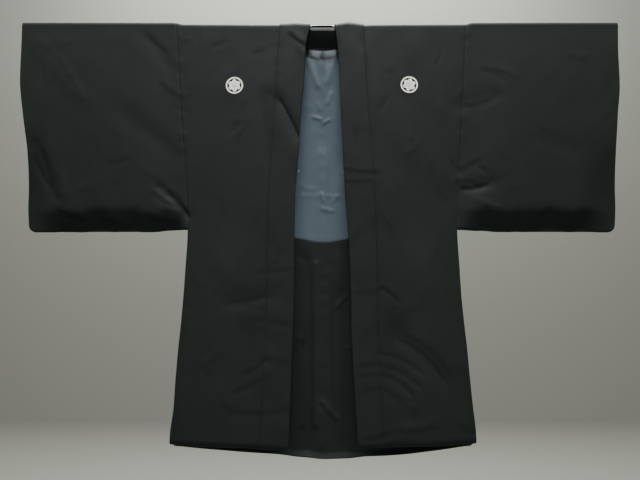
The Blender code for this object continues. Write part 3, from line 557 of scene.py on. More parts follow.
def nominal_drop(fraction):
    """Drop of a body row beside the collar, where the widths are read."""
    return ROD_DROP + np.asarray(fraction, float) * (read_table(HEM, 1, HUMP_PLACE) - ROD_DROP)


def collar_edges(drop, side):
    """The collar's folded and free edges, as distances from the centre."""
    first = 1 if side == WEARERS_LEFT else 3
    return read_table(COLLAR, first, drop), read_table(COLLAR, first + 1, drop)


def panel_sides(fraction, side, face):
    """Seam at the collar, or the neck opening's edge behind, and the side seam."""
    drop = nominal_drop(fraction)
    outer = read_table(SIDE, COLUMN[side], drop)
    if face == FRONT:
        return collar_edges(drop, side)[1] - COLLAR_LAP, outer
    return np.full(outer.shape, NECK_HALF), outer


def turn_under(distance):
    """How far the cloth's outside sinks beside a seam, 0 away from it."""
    return SEAM_DIP * (1 - smoothstep(0, SEAM_ROUND, distance)) ** 1.5


def seam_columns(count):
    """Fractions across a panel, close together by the seams at both of its sides."""
    edge = np.array(ROUNDED)
    return np.concatenate([edge, np.linspace(0.022, 0.978, count), 1 - edge[::-1]])


def hanging_rows(count, *exact):
    """Fractions from the rod to the hem, close together in the last centimetre, with the exact
    ones among them."""
    rows = np.concatenate([np.linspace(0, 0.988, count), (0.992, 0.9955, 0.998, 1.0)])
    for fraction in exact:
        rows[np.argmin(np.abs(rows - fraction))] = fraction
    return rows


def over_rod(count):
    """Angles from front to back over the rod, without the two that the hanging rows have."""
    return np.linspace(math.pi / 2, -math.pi / 2, count + 2)[1:-1]


def centre_columns():
    """Distances from the centre seam to just short of the neck opening's edge."""
    share = np.concatenate([(0.0, 0.012, 0.024, 0.04), np.linspace(0.07, 1, 22)])[:-1]
    return SEAM_GAP / 2 + share * (NECK_HALF - SEAM_GAP / 2)


# ======== Meshes ========


def grid_faces(index, flip=False):
    """One four-sided face for each cell of a grid of point numbers."""
    a, b, c, d = index[:-1, :-1], index[:-1, 1:], index[1:, 1:], index[1:, :-1]
    faces = np.stack([a, b, c, d], axis=-1).reshape(-1, 4)
    return faces[:, ::-1] if flip else faces


def numbered(shape, first=0):
    return first + np.arange(shape[0] * shape[1]).reshape(shape)


def closed_round(shape):
    """Point numbers of a grid whose last column joins its first."""
    index = numbered(shape)
    return np.concatenate([index, index[:, :1]], axis=1)


def capped_faces(shape, flip=False):
    """Faces of a round grid, a ring in each row, and of the flat ends that close it."""
    index = closed_round(shape)
    caps = [tuple(index[0, :-1][::-1]), tuple(index[-1, :-1])]
    faces = [tuple(face) for face in grid_faces(index, flip)]
    return faces + [cap[::-1] if flip else cap for cap in caps]


def mesh_object(name, points, faces, material):
    """An object at the origin, smooth, from points and faces."""
    mesh = bpy.data.meshes.new(name)
    mesh.from_pydata(np.asarray(points).tolist(), [], [tuple(face) for face in faces])
    mesh.shade_smooth()
    mesh.materials.append(material)
    thing = bpy.data.objects.new(name, mesh)
    bpy.context.scene.collection.objects.link(thing)
    return thing


def mesh_piece(name, points, faces, material, slot, node=None, cloth=None, sharp=60):
    """A piece of the object, in place of a node of the solids. cloth is each point's place on the
    flat cloth, which the weave follows, and an edge that turns more than sharp degrees is hard."""
    piece = mesh_object(name, points, faces, material)
    if cloth is not None:
        flat = np.column_stack([cloth, np.zeros(len(cloth))]).astype(np.float32)
        places = piece.data.attributes.new("cloth", "FLOAT_VECTOR", "POINT")
        places.data.foreach_set("vector", flat.ravel())
    piece.data.set_sharp_from_angle(angle=math.radians(sharp))
    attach(piece, "root")
    if node:
        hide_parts(node)
    return piece


def cloth_piece(kind, word, layers, faces, cloth, material, slot="black_silk"):
    """A piece of cloth: the wall between its outside and its inside."""
    points, faces, cloth = wall(*layers, faces, cloth)
    end = f"_{word}" if word else ""
    name, node = f"{kind}_cloth{end}", f"{kind}{end}"
    return mesh_piece(name, points, faces, material, slot, node, cloth)


def wall(outer, inner, faces, cloth, turns=4):
    """Closed wall between an outside and an inside with the same faces. Its rim is a half circle:
    each edge point goes from the outside to the inside round the middle of the cloth."""
    outer, inner = outer.reshape(-1, 3), inner.reshape(-1, 3)
    cloth = cloth.reshape(-1, 2)
    used = np.unique(faces)
    renumber = np.full(len(outer), -1)
    renumber[used] = np.arange(len(used))
    outer, inner, cloth, faces = outer[used], inner[used], cloth[used], renumber[faces]
    count = len(outer)
    starts, ends = faces.ravel(), np.roll(faces, -1, axis=1).ravel()
    there, back = starts * count + ends, ends * count + starts
    rim = ~np.isin(there, back)
    a, b = starts[rim], ends[rim]

    along = outer[b] - outer[a]
    away = np.cross(along, outer[a] - inner[a])
    away /= np.linalg.norm(away, axis=1, keepdims=True)
    outward = np.zeros((count, 3))
    np.add.at(outward, a, away)
    np.add.at(outward, b, away)
    edge = np.unique(np.concatenate([a, b]))
    outward = outward[edge] / np.linalg.norm(outward[edge], axis=1, keepdims=True)
    half = (outer[edge] - inner[edge]) / 2
    middle = (outer[edge] + inner[edge]) / 2
    reach = np.linalg.norm(half, axis=1, keepdims=True)
    place = np.full(count, -1)
    place[edge] = np.arange(len(edge))

    rings, ring_cloth, strips = [], [], []
    last_a, last_b = a, b
    for k in range(1, turns):
        angle = math.pi * k / turns
        rings.append(middle + math.cos(angle) * half + math.sin(angle) * reach * outward)
        ring_cloth.append(cloth[edge])
        first = 2 * count + (k - 1) * len(edge)
        next_a, next_b = first + place[a], first + place[b]
        strips.append(np.column_stack([last_b, last_a, next_a, next_b]))
        last_a, last_b = next_a, next_b
    strips.append(np.column_stack([last_b, last_a, a + count, b + count]))
    points = np.concatenate([outer, inner, *rings])
    all_faces = np.concatenate([faces, faces[:, ::-1] + count, *strips])
    return points, all_faces, np.concatenate([cloth, cloth, *ring_cloth])


def tube(points, radius, sides):
    """Round tube along a line of points that lies in a plane of constant x: each ring stands
    square to the line's direction there."""
    points = np.asarray(points, float)
    radius = np.broadcast_to(radius, len(points))
    along = np.gradient(points, axis=0)
    along /= np.linalg.norm(along, axis=1, keepdims=True)
    across = np.array((1.0, 0.0, 0.0))
    up = np.cross(along, across)
    turn = 2 * math.pi * np.arange(sides) / sides
    ring = np.cos(turn)[None, :, None] * across + np.sin(turn)[None, :, None] * up[:, None, :]
    surface = points[:, None, :] + radius[:, None, None] * ring
    return surface.reshape(-1, 3), capped_faces(surface.shape[:2])


# ======== Finishes ========


def linear(hex_colour):
    """sRGB hex to linear red, green, blue and alpha."""
    channels = [int(hex_colour[k : k + 2], 16) / 255 for k in (1, 3, 5)]
    return (*(c / 12.92 if c <= 0.04045 else ((c + 0.055) / 1.055) ** 2.4 for c in channels), 1)


def feed(material, node, inputs):
    """Set a node's inputs, each to a value or to another node's output, which is linked."""
    for key, value in inputs.items():
        if isinstance(value, bpy.types.NodeSocket):
            material.node_tree.links.new(value, node.inputs[key])
        else:
            node.inputs[key].default_value = value


def add_node(material, kind, inputs=None, **settings):
    """A node with its settings and its inputs."""
    node = material.node_tree.nodes.new(kind)
    for key, value in settings.items():
        setattr(node, key, value)
    feed(material, node, inputs or {})
    return node


def new_material(name, **values):
    """A material with its shader's constant values, and the shader."""
    material = bpy.data.materials.new(name)
    material.use_nodes = True
    shader = material.node_tree.nodes["Principled BSDF"]
    for key, value in values.items():
        shader.inputs[key.replace("_", " ")].default_value = value
    return material, shader


def colour_ramp(material, factor, stops):
    """A ramp from a factor to colours: (place, hex) pairs."""
    ramp = add_node(material, "ShaderNodeValToRGB", {"Fac": factor})
    elements = ramp.color_ramp.elements
    while len(elements) < len(stops):
        elements.new(0.5)
    for element, (place, colour) in zip(elements, stops):
        element.position, element.color = place, linear(colour)
    return ramp.outputs["Color"]


def arithmetic(material, operation, *values):
    node = add_node(material, "ShaderNodeMath", dict(enumerate(values)), operation=operation)
    return node.outputs[0]


def noise(material, place, scale, detail):
    """Even noise as a factor, at a scale in waves to the metre."""
    inputs = {"Vector": place, "Scale": scale, "Detail": detail}
    return add_node(material, "ShaderNodeTexNoise", inputs).outputs["Fac"]


def stretched(material, place, scale):
    inputs = {"Vector": place, "Scale": scale}
    return add_node(material, "ShaderNodeMapping", inputs).outputs["Vector"]


def object_place(material):
    return add_node(material, "ShaderNodeTexCoord").outputs["Object"]


def bump(material, pattern, depth):
    """A normal for a pattern that stands depth high, in metres."""
    inputs = {"Height": pattern, "Distance": depth}
    return add_node(material, "ShaderNodeBump", inputs).outputs["Normal"]


def gloss(material, pattern, rough, low=0.0, high=1.0):
    """A roughness between two, as a pattern goes from low to high."""
    inputs = {"Value": pattern, "From Min": low, "From Max": high}
    inputs |= {"To Min": rough[0], "To Max": rough[1]}
    return add_node(material, "ShaderNodeMapRange", inputs).outputs["Result"]


def woven(name, dark, light, thread, weft, relief, rough, **values):
    """Woven silk: two sets of threads, thread apart, as a bump on the cloth's own places, and a
    colour and a gloss that drift over some centimetres."""
    material, shader = new_material(name, IOR=1.54, **values)
    place = add_node(material, "ShaderNodeAttribute", attribute_name="cloth").outputs["Vector"]
    drift = noise(material, place, 11.0, 4.0)
    split = add_node(material, "ShaderNodeSeparateXYZ", {"Vector": place})
    ridges = []
    for axis, weight in (("X", 1 - weft), ("Y", weft)):
        phase = arithmetic(material, "MULTIPLY", split.outputs[axis], 2 * math.pi / thread)
        ridge = arithmetic(material, "SINE", phase)
        ridges.append(arithmetic(material, "MULTIPLY", ridge, weight))
    weave = arithmetic(material, "ADD", *ridges)
    slub = noise(material, stretched(material, place, (60.0, 900.0, 1.0)), 1.0, 2.0)
    height = arithmetic(material, "MULTIPLY_ADD", slub, 0.9, weave)
    inputs = {
        "Base Color": colour_ramp(material, drift, ((0.30, dark), (0.70, light))),
        "Normal": bump(material, height, relief),
        "Roughness": gloss(material, drift, rough, 0.3, 0.7),
    }
    feed(material, shader, inputs)
    return material


BLACK_SILK = {
    "thread": 0.0008,
    "weft": 0.65,
    "relief": 0.00004,
    "rough": (0.66, 0.74),
    "Sheen_Weight": 0.06,
    "Sheen_Roughness": 0.45,
    "Sheen_Tint": linear("#8fb0a8"),
    "Specular_IOR_Level": 0.135,
}
# Plain-woven silk dyed deep black: matt, with the faint sheen of its fine threads. Real threads
# are 0.15 mm apart, and are drawn 0.8 mm apart so that they can be seen.
black_silk = woven("plain_woven_black_silk", "#131817", "#171b1a", **BLACK_SILK)
# The facing's silk: the same black silk painted a little lighter than the outside, as painted light
# for the facing, which hangs in shade behind the fronts and the collar.
facing_silk_painted_light = woven("plain_woven_facing_silk", "#161a19", "#1a1f1e", **BLACK_SILK)
# Smooth figured silk for the lining, greyish blue: a softer light on its folds than the outside.
blue_silk = woven(
    "smooth_blue_lining_silk",
    "#414e58",
    "#47545e",
    thread=0.0007,
    weft=0.35,
    relief=0.00003,
    rough=(0.50, 0.58),
    Sheen_Weight=0.10,
    Sheen_Roughness=0.40,
    Specular_IOR_Level=0.27,
)
# The crests are the silk's own white, kept from the dye.
white_silk = woven(
    "undyed_white_silk",
    "#f2f3e6",
    "#f9faee",
    thread=0.0008,
    weft=0.65,
    relief=0.00003,
    rough=(0.60, 0.68),
    Sheen_Weight=0.10,
    Specular_IOR_Level=0.30,
)


def twisted(name, dark, light):
    """Twisted silk thread: its fibres as a fine unevenness of colour and skin."""
    material, shader = new_material(name, Roughness=0.5, Sheen_Weight=0.3, IOR=1.54)
    fibres = noise(material, object_place(material), 2500.0, 3.0)
    colour = colour_ramp(material, fibres, ((0.35, dark), (0.65, light)))
    feed(material, shader, {"Base Color": colour, "Normal": bump(material, fibres, 0.00004)})
    return material


# Twisted silk, in the colours of the cloth it sews: a soft gleam on each ply.
black_thread = twisted("twisted_black_silk_thread", "#121615", "#1a1f22")
blue_thread = twisted("twisted_blue_silk_thread", "#353e49", "#464f5a")


def grained(name, colour, rough, scale, depth, **values):
    """Metal, moulding or paint: a fine unevenness, at a scale in waves to the metre along each
    axis, in its gloss and its skin."""
    material, shader = new_material(name, Base_Color=linear(colour), **values)
    skin = noise(material, stretched(material, object_place(material), scale), 1.0, 3.0)
    inputs = {"Roughness": gloss(material, skin, rough), "Normal": bump(material, skin, depth)}
    feed(material, shader, inputs)
    return material


# Extruded aluminium tube, satin anodised: a soft grey band of light along it.
anodised_aluminium = grained(
    "satin_anodised_aluminium",
    "#e6e7e7",
    (0.42, 0.55),
    (6.0, 2200.0, 2200.0),
    0.00001,
    Metallic=1.0,
)
# Black ABS, moulded in a polished tool: glossy, with the slight ripple of a thick moulding.
black_abs = grained(
    "glossy_moulded_abs", "#0a0b0c", (0.12, 0.20), (1 / 0.004,) * 3, 0.00003, IOR=1.50
)
# Steel wire, black powder coated: an even orange-peel skin.
coated_steel = grained(
    "black_powder_coated_steel", "#131415", (0.34, 0.46), (1 / 0.0006,) * 3, 0.00003, IOR=1.50
)


# ======== Cloth pieces ========


def body_surface(side, columns=74, rows=205, over=12):
    """One half of the body: x and path of each grid point, front hem to back hem, and its faces.
    Behind, a second grid goes on from the neck's edge to the centre seam, below the neck."""
    down = hanging_rows(rows, NECK_ROW)
    front = down[::-1]
    across = seam_columns(columns)
    inner, outer = panel_sides(front, side, FRONT)
    x_front = inner[:, None] + across * (outer - inner)[:, None]
    inner, outer = panel_sides(down, side, BACK)
    x_back = inner[:, None] + across * (outer - inner)[:, None]
    angle = over_rod(over)
    share = (1 - angle / (math.pi / 2))[:, None] / 2
    x_over = x_front[-1] + share * (x_back[0] - x_front[-1])
    x = side * np.concatenate([x_front, x_over, x_back])
    path = np.concatenate(
        [
            body_path(side * x_front, front[:, None], FRONT),
            np.broadcast_to(BEND * angle[:, None], x_over.shape),
            body_path(side * x_back, down[:, None], BACK),
        ]
    )
    index = numbered(x.shape)
    faces = [grid_faces(index, flip=side == WEARERS_RIGHT)]

    neck = len(front) + over + int(np.argmin(np.abs(down - NECK_ROW)))
    behind = down[down >= NECK_ROW - 1e-9]
    x_centre = side * np.tile(centre_columns(), (len(behind), 1))
    centre_index = numbered(x_centre.shape, x.size)
    centre_index = np.concatenate([centre_index, index[neck:, :1]], axis=1)
    faces.append(grid_faces(centre_index, flip=side == WEARERS_RIGHT))
    path_centre = body_path(x_centre, behind[:, None], BACK)
    x_all = np.concatenate([x.ravel(), x_centre.ravel()])
    path_all = np.concatenate([path.ravel(), path_centre.ravel()])
    return x_all, path_all, np.concatenate(faces)


def seam_distance(x, path, side):
    """Distance from the nearest of the body's seams."""
    drop = ROD_DROP + np.maximum(np.abs(path) - QUARTER, 0)
    outer = np.abs(read_table(SIDE, COLUMN[side], drop) - np.abs(x))
    free = np.abs(np.abs(x) - collar_edges(drop, side)[1] - BESIDE_COLLAR)
    inner = np.where(path < -QUARTER, np.abs(x), free)
    return np.minimum(outer, inner)


def make_body(side, word):
    x, path, faces = body_surface(side)
    roll = HEM_ROLL * np.exp(-((from_hem(x, path) / HEM_ROLL_HEIGHT) ** 2))
    outside = WALL + roll - turn_under(seam_distance(x, path, side))
    inside = -HEM_ROLL_INSIDE * roll * (path > 0)
    outer, inner = drape(x, path, outside, inside)
    cloth = np.column_stack([x, path])
    return cloth_piece("body", word, (outer, inner), faces, cloth, black_silk)


def lining_edge(x):
    """Row fraction of the edge where the lining meets the facing."""
    return LINING_ROW + LINING_SAG * np.exp(-((np.asarray(x) / LINING_SAG_WIDTH) ** 2))


def lining_relief(x, drop):
    """How far the lining or the facing stands off the back cloth: its own folds, a slack that
    swells between the seams, and small waves."""
    relief = LINING_SLACK * (1 - np.exp(-((np.abs(x) / LINING_SLACK_WIDTH) ** 2)))
    for fold in LINING_FOLDS:
        relief = relief + bell(x, drop, *fold)
    ripple = LINING_RIPPLE * (1 + np.sin(160 * x + 1.3 * np.sin(19 * drop)))
    phase = 2 * math.pi * drop / LINING_GATHER_LENGTH + 3.1 * np.sin(23 * drop)
    gather = LINING_GATHER * (1 + np.sin(phase))
    return relief + ripple + gather * np.exp(-((np.abs(x) / LINING_GATHER_REACH) ** 2))


def make_inner_layer(kind, side, word, start, end, material, rows=150):
    """Lining or facing inside the back, from the centre seam to near the side seam."""
    down = np.linspace(start, end, rows)
    if end == 1.0:
        down = np.concatenate([down[:-1], (0.9985, 1.0)])
    x_centre = np.tile(centre_columns(), (len(down), 1))
    outer_edge = panel_sides(down, side, BACK)[1]
    x_main = NECK_HALF + np.linspace(0, FELLED, 46) * (outer_edge - NECK_HALF)[:, None]
    x = side * np.concatenate([x_centre, x_main], axis=1)
    at = np.broadcast_to(down[:, None], x.shape)
    edge_shift = lining_edge(x) - LINING_ROW
    near_edge = 1 - smoothstep(0, LINING_SAG_REACH, np.abs(at - LINING_ROW))
    gap = SEAM_GAP / LENGTH * (-1 if kind == "lining" else 1)
    at = at + (edge_shift + gap) * near_edge
    path = body_path(x, at, BACK)
    drop = ROD_DROP + np.abs(path) - QUARTER
    stand = SEAM_GAP + lining_relief(x, drop) * smoothstep(NECK_ROW, NECK_ROW + 0.02, at)
    dip = turn_under(np.abs(x)) * 0.7
    dip = dip + turn_under(np.abs(at - lining_edge(x)) * LENGTH) * 0.6
    from_edge = from_hem(x, path) - FACING_ROLL_PLACE
    stand = stand + FACING_ROLL * np.exp(-((from_edge / FACING_ROLL_HEIGHT) ** 2))
    layers = drape(x, path, -stand, -stand - LINING_WALL + dip * 0.8)
    faces = grid_faces(numbered(x.shape), flip=side == WEARERS_RIGHT)
    slot = "blue_lining" if kind == "lining" else "black_silk"
    return cloth_piece(kind, word, layers, faces, np.stack([x, path], axis=-1), material, slot)


def sleeve_surface(side, inset, columns=74, rows=96, over=12):
    """A sleeve's tube: x and path of each grid point, from the lower fold up the front, over the
    rod and down the back. inset draws the inside in from the closed edges."""
    down = np.unique(np.concatenate([np.linspace(0, 1, rows), (CUFF_FRACTION, 0.985, 0.996)]))
    across = seam_columns(columns)

    def place(fractions, face):
        seam_drop = ROD_DROP + fractions * (SLEEVE_DROP - SLEEVE_RISE - ROD_DROP)
        end_drop = ROD_DROP + fractions * (SLEEVE_DROP - ROD_DROP)
        start = read_table(SIDE, COLUMN[side], seam_drop) + SEAM_GAP
        end = read_table(SLEEVE_END, COLUMN[side], end_drop) - inset
        x = start[:, None] + across * (end - start)[:, None]
        depth = sleeve_bottom(side * x, side) - inset - ROD_DROP
        return side * x, face * (QUARTER + fractions[:, None] * depth)

    x_front, path_front = place(down[::-1], FRONT)
    x_back, path_back = place(down, BACK)
    angle = over_rod(over)
    x_over = np.broadcast_to(x_front[-1], (over, x_front.shape[1]))
    path_over = np.broadcast_to(BEND * angle[:, None], x_over.shape)
    x = np.concatenate([x_front, x_over, x_back])
    path = np.concatenate([path_front, path_over, path_back])
    cuff = int(np.argmin(np.abs(down[::-1] - CUFF_FRACTION)))
    return x, path, cuff


def closed_edge(front, back, side, bend, steps):
    """Half ellipses from the front's edge points to the back's, bulging down along the lower fold,
    outwards up the outer edge, and not at all where the cuff opens."""
    count = len(front)
    middle, half = (front + back) / 2, (front - back) / 2
    from_cuff = (count - 1 - np.arange(count)) / CUFF_EASE
    gap = np.linalg.norm(half, axis=1)
    bulge = np.minimum(EDGE_ROUND, EDGE_ROUND_SHARE * gap) * smoothstep(0, 1, from_cuff)
    down, sideways = np.array((0.0, 0.0, -1.0)), np.array((float(side), 0.0, 0.0))
    outward = down * (1 - bend[:, None]) + sideways * bend[:, None]
    outward /= np.linalg.norm(outward, axis=1, keepdims=True)
    angle = np.linspace(0, math.pi, steps + 1)[1:-1]
    return (
        middle[:, None]
        + np.cos(angle)[None, :, None] * half[:, None]
        + np.sin(angle)[None, :, None] * (bulge[:, None] * outward)[:, None]
    )


def make_sleeve(side, word, steps=6):
    """A flat tube, open at the armhole and the cuff, folded at the bottom and sewn up its outer
    edge to the cuff."""
    x, path, cuff = sleeve_surface(side, 0.0)
    x_in, path_in, _ = sleeve_surface(side, WALL)
    drop = ROD_DROP + np.maximum(np.abs(path) - QUARTER, 0)
    from_seam = np.abs(x) - read_table(SIDE, COLUMN[side], drop)
    outer = drape(x, path, WALL - turn_under(np.abs(from_seam)))
    inner = drape(x_in, path_in, 0.0)
    rows, columns = x.shape
    index = numbered(x.shape)
    last_row, last = rows - 1, columns - 1
    front_edge = np.concatenate([index[0, :], index[1 : cuff + 1, last]])
    back_edge = np.concatenate([index[last_row, :], index[last_row - cuff : last_row, last][::-1]])
    turn = smoothstep(last - 3, last + 3, np.arange(len(front_edge)))
    strips = []
    for layer in (outer, inner):
        flat = layer.reshape(-1, 3)
        strips.append(closed_edge(flat[front_edge], flat[back_edge], side, turn, steps))
    strip_index = numbered(strips[0].shape[:2], x.size)
    strip_index = np.column_stack([back_edge, strip_index[:, ::-1], front_edge])
    flip = side == WEARERS_RIGHT
    faces = np.concatenate([grid_faces(index, flip), grid_faces(strip_index.T, flip)])
    outer = np.concatenate([outer.reshape(-1, 3), strips[0].reshape(-1, 3)])
    inner = np.concatenate([inner.reshape(-1, 3), strips[1].reshape(-1, 3)])
    cloth = np.column_stack([x.ravel(), path.ravel()])
    cloth = np.concatenate([cloth, np.repeat(cloth[front_edge], steps - 1, axis=0)])
    return cloth_piece("sleeve", word, (outer, inner), faces, cloth, black_silk)


def make_gusset(side, word, rows=130, columns=14):
    """A strip between the front's and the back's side edges, tucked in along its middle."""
    across = np.linspace(0, 1, columns)
    edges = []
    for face, top in zip((FRONT, BACK), GUSSET_ROWS):
        down = np.linspace(top, 1, rows)
        x = side * (panel_sides(down, side, FRONT)[1] - GUSSET_INSET)
        edges.append(drape(x, body_path(x, down, face), GUSSET_LEVEL))
    front, back = edges
    outer = front[:, None] + across[None, :, None] * (back - front)[:, None]
    tuck = GUSSET_TUCK * np.sin(math.pi * across)
    ripple = GUSSET_RIPPLE * np.sin(2 * math.pi * down[:, None] / GUSSET_RIPPLE_LENGTH)
    ripple = ripple * np.sin(math.pi * across)
    outer[..., 0] -= side * (tuck + ripple)
    inner = outer - np.array((side * WALL, 0, 0))
    places = np.broadcast_arrays(GUSSET_WIDTH * across, nominal_drop(down)[:, None])
    faces = grid_faces(numbered(outer.shape[:2]), flip=side == WEARERS_LEFT)
    layers, cloth = (outer, inner), np.stack(places, axis=-1)
    return cloth_piece("gusset", word, layers, faces, cloth, black_silk)


def collar_stations(side, rows=205, over=12, fan=26):
    """One side's stations from the hem to the centre back, as columns: the folded edge's x and
    path, the free edge's x and path, the share of the width at the seam, and the gap between the
    layers."""
    down = hanging_rows(rows)[::-1]
    fold, free = collar_edges(nominal_drop(down), side)
    seam = (free - COLLAR_LAP - SEAM_GAP - fold) / (free - fold)
    hanging = np.column_stack(
        [
            fold,
            body_path(side * fold, down, FRONT),
            free,
            body_path(side * free, down, FRONT),
            seam,
            np.full(len(down), LAYER_GAP),
        ]
    )
    fold, free = collar_edges(ROD_DROP, side)
    angle = over_rod(over)
    limit = (min(free - COLLAR_LAP, NECK_HALF) - 2 * SEAM_GAP - fold) / (free - fold)
    columns = (fold, BEND * angle, free, BEND * angle, limit, LAYER_GAP)
    on_rod = np.column_stack(np.broadcast_arrays(*columns))

    degrees = np.linspace(0, 90, fan)
    turned, angle = degrees / 90, np.radians(degrees)
    neck_path = QUARTER + NECK_ROW * (hem_drop(0.05, BACK) - ROD_DROP) - 2 * SEAM_GAP
    fold_x = fold + (BACK_FOLD_HALF - fold) * turned
    fold_path = QUARTER + (BACK_FOLD - QUARTER) * turned
    free_x = fold_x + (free - fold) * np.cos(angle)
    free_path = fold_path + (BACK_FREE - fold_path) * np.sin(angle)
    wide, deep = np.maximum(free_x - fold_x, 1e-6), np.maximum(free_path - fold_path, 1e-6)
    limit = np.minimum(1.0, (NECK_HALF - 2 * SEAM_GAP - fold_x) / wide)
    limit = np.minimum(limit, (neck_path - fold_path) / deep)
    gap = LAYER_GAP + (NECK_LAYER_GAP - LAYER_GAP) * np.minimum(1.0, degrees / 30)
    behind = np.column_stack([fold_x, -fold_path, free_x, -free_path, limit, gap])
    return np.concatenate([hanging, on_rod, behind])


def collar_section(stations, side, under=8, turns=8, over=26):
    """Outside and inside of the folded band. In each section its middle line goes from the seam to
    the folded edge on the lower level, round a half circle, and back to the free edge on the upper
    level, which swells a little between its edges. Rows are stations."""
    fold_x, fold_path, free_x, free_path, seam, gap = (column[:, None] for column in stations.T)
    span = np.hypot(free_x - fold_x, free_path - fold_path)
    radius = (COLLAR_WALL + gap) / 2
    edge = (radius + COLLAR_WALL / 2) / span
    low, high = COLLAR_WALL / 2, COLLAR_WALL * 1.5 + gap
    back = np.linspace(0, 1, under)[None, :]
    w_low = seam + (edge - seam) * back
    level_low = low + 0 * w_low
    around = math.pi * np.linspace(0, 1, turns + 1)[None, 1:-1]
    w_turn = edge - radius / span * np.sin(around)
    level_turn = (low + high) / 2 - radius * np.cos(around)
    out = np.linspace(0, 1, over)[None, :] ** 1.05
    w_high = edge + (1 - edge) * out
    level_high = high + COLLAR_PUFF * np.sin(math.pi * np.clip(out * 1.02, 0, 1)) ** 0.7
    share = np.concatenate([w_low, w_turn, w_high], axis=1)
    middle = np.concatenate([level_low, level_turn, level_high], axis=1)
    fold_out = np.concatenate([-np.ones(under), -np.cos(around[0]), np.ones(over)])
    fold_side = np.concatenate([np.zeros(under), -np.sin(around[0]), np.zeros(over)])
    layers = []
    for offset in (COLLAR_WALL / 2, -COLLAR_WALL / 2):
        w = share + offset * fold_side / span
        level = middle + offset * fold_out
        x = side * (fold_x + w * (free_x - fold_x))
        path = fold_path + w * (free_path - fold_path)
        layers.append((x, path, level))
    return layers


def make_collar():
    """One long band, folded along its length, from hem to hem round the neck."""
    layers = [[], []]
    for side, order in ((WEARERS_RIGHT, 1), (WEARERS_LEFT, -1)):
        for layer, (x, path, level) in zip(layers, collar_section(collar_stations(side), side)):
            layer.append([part[::order] for part in (x, path, np.broadcast_to(level, x.shape))])
    surfaces = []
    for layer in layers:
        x, path, level = (np.concatenate([part[k] for part in layer]) for k in range(3))
        surfaces.append((drape(x, path, level), x, path))
    (outer, x, path), (inner, _, _) = surfaces
    steps = np.linalg.norm(np.diff(outer[:, -1], axis=0), axis=1)
    along = np.concatenate([[0.0], np.cumsum(steps)])
    widths = np.linalg.norm(np.diff(outer, axis=1), axis=2)
    across = np.concatenate([np.zeros((len(outer), 1)), np.cumsum(widths, axis=1)], axis=1)
    cloth = np.stack([across, np.broadcast_to(along[:, None], across.shape)], axis=-1)
    faces = grid_faces(numbered(x.shape), flip=True)
    return cloth_piece("collar", "", (outer, inner), faces, cloth, black_silk)


# ======== Crests and sewing ========

CREST_RADIUS = 0.019
CREST_LEVEL, CREST_WALL = 0.00006, 0.00016
# Shares of the crest's radius: circles of its ring and of its disc, and then a leaf's start,
# length, half width, and half the groove down its middle.
CREST_RING, CREST_DISC = (0.84, 0.92, 1.0), (0.004, 0.08, 0.150)
LEAF_START, LEAF_LENGTH, LEAF_HALF, LEAF_GROOVE = 0.17, 0.60, 0.275, 0.06
STITCH_LENGTH, STITCH_THREAD = 0.0026, 0.00032
STITCH_FIRST, STITCH_LAST, STITCH_APART = 0.006, 0.262, 0.0075  # from the centre seam outwards
STITCH_SLANT = (0.35, 0.94)  # a stitch's direction, as shares of x and of path
HEM_STITCHES = 0.016  # path from the back hem to its row of stitches


def crest_parts():
    """The crest's shapes, flat, each a grid of places: a ring, six leaves, each in two halves, and
    a disc in the middle."""
    turn = np.linspace(0, 2 * math.pi, 73)
    circle = np.stack([np.cos(turn), np.sin(turn)], axis=-1)
    parts = [np.stack([circle * r for r in CREST_RING])]
    parts.append(np.stack([circle[::4] * r for r in CREST_DISC]))
    along = np.linspace(0, 1, 17)
    width = LEAF_HALF * np.sin(math.pi * along) ** 0.60 * (1.0 - 0.16 * along) + 0.004
    for k in range(6):
        angle = math.pi / 2 + k * math.pi / 3
        axis = np.array((math.cos(angle), math.sin(angle)))
        beside = np.array((-axis[1], axis[0]))
        spine = (LEAF_START + LEAF_LENGTH * along)[:, None] * axis
        for low, high in ((-1.0, -LEAF_GROOVE), (LEAF_GROOVE, 1.0)):
            shares = np.linspace(low, high, 5)
            parts.append(np.stack([spine + (s * width)[:, None] * beside for s in shares]))
    return parts


def make_crest(name, x, path, lean):
    """A crest on the cloth: each of its shapes laid on the drape and given a thin wall."""
    c, s = math.cos(lean), math.sin(lean)
    points, faces, cloth, first = [], [], [], 0
    for part in crest_parts():
        u = CREST_RADIUS * (part[..., 0] * c - part[..., 1] * s)
        v = CREST_RADIUS * (part[..., 0] * s + part[..., 1] * c)
        place_x, place_path, low = x + u, path - v, WALL + CREST_LEVEL
        outer, inner = drape(place_x, place_path, low + CREST_WALL, low)
        index = numbered(place_x.shape)
        if np.allclose(part[:, 0], part[:, -1]):
            index[:, -1] = index[:, 0]
        a, b, d = outer[0, 0], outer[0, 1], outer[1, 0]
        outward = np.cross(b - a, d - a) @ (outer[0, 0] - inner[0, 0])
        spots = np.stack([place_x, place_path], axis=-1)
        part_points, part_faces, part_cloth = wall(
            outer, inner, grid_faces(index, flip=outward < 0), spots, turns=1
        )
        points.append(part_points)
        faces.append(part_faces + first)
        cloth.append(part_cloth)
        first += len(part_points)
    points, faces, cloth = (np.concatenate(parts) for parts in (points, faces, cloth))
    return mesh_piece(name, points, faces, white_silk, "black_silk", cloth=cloth)


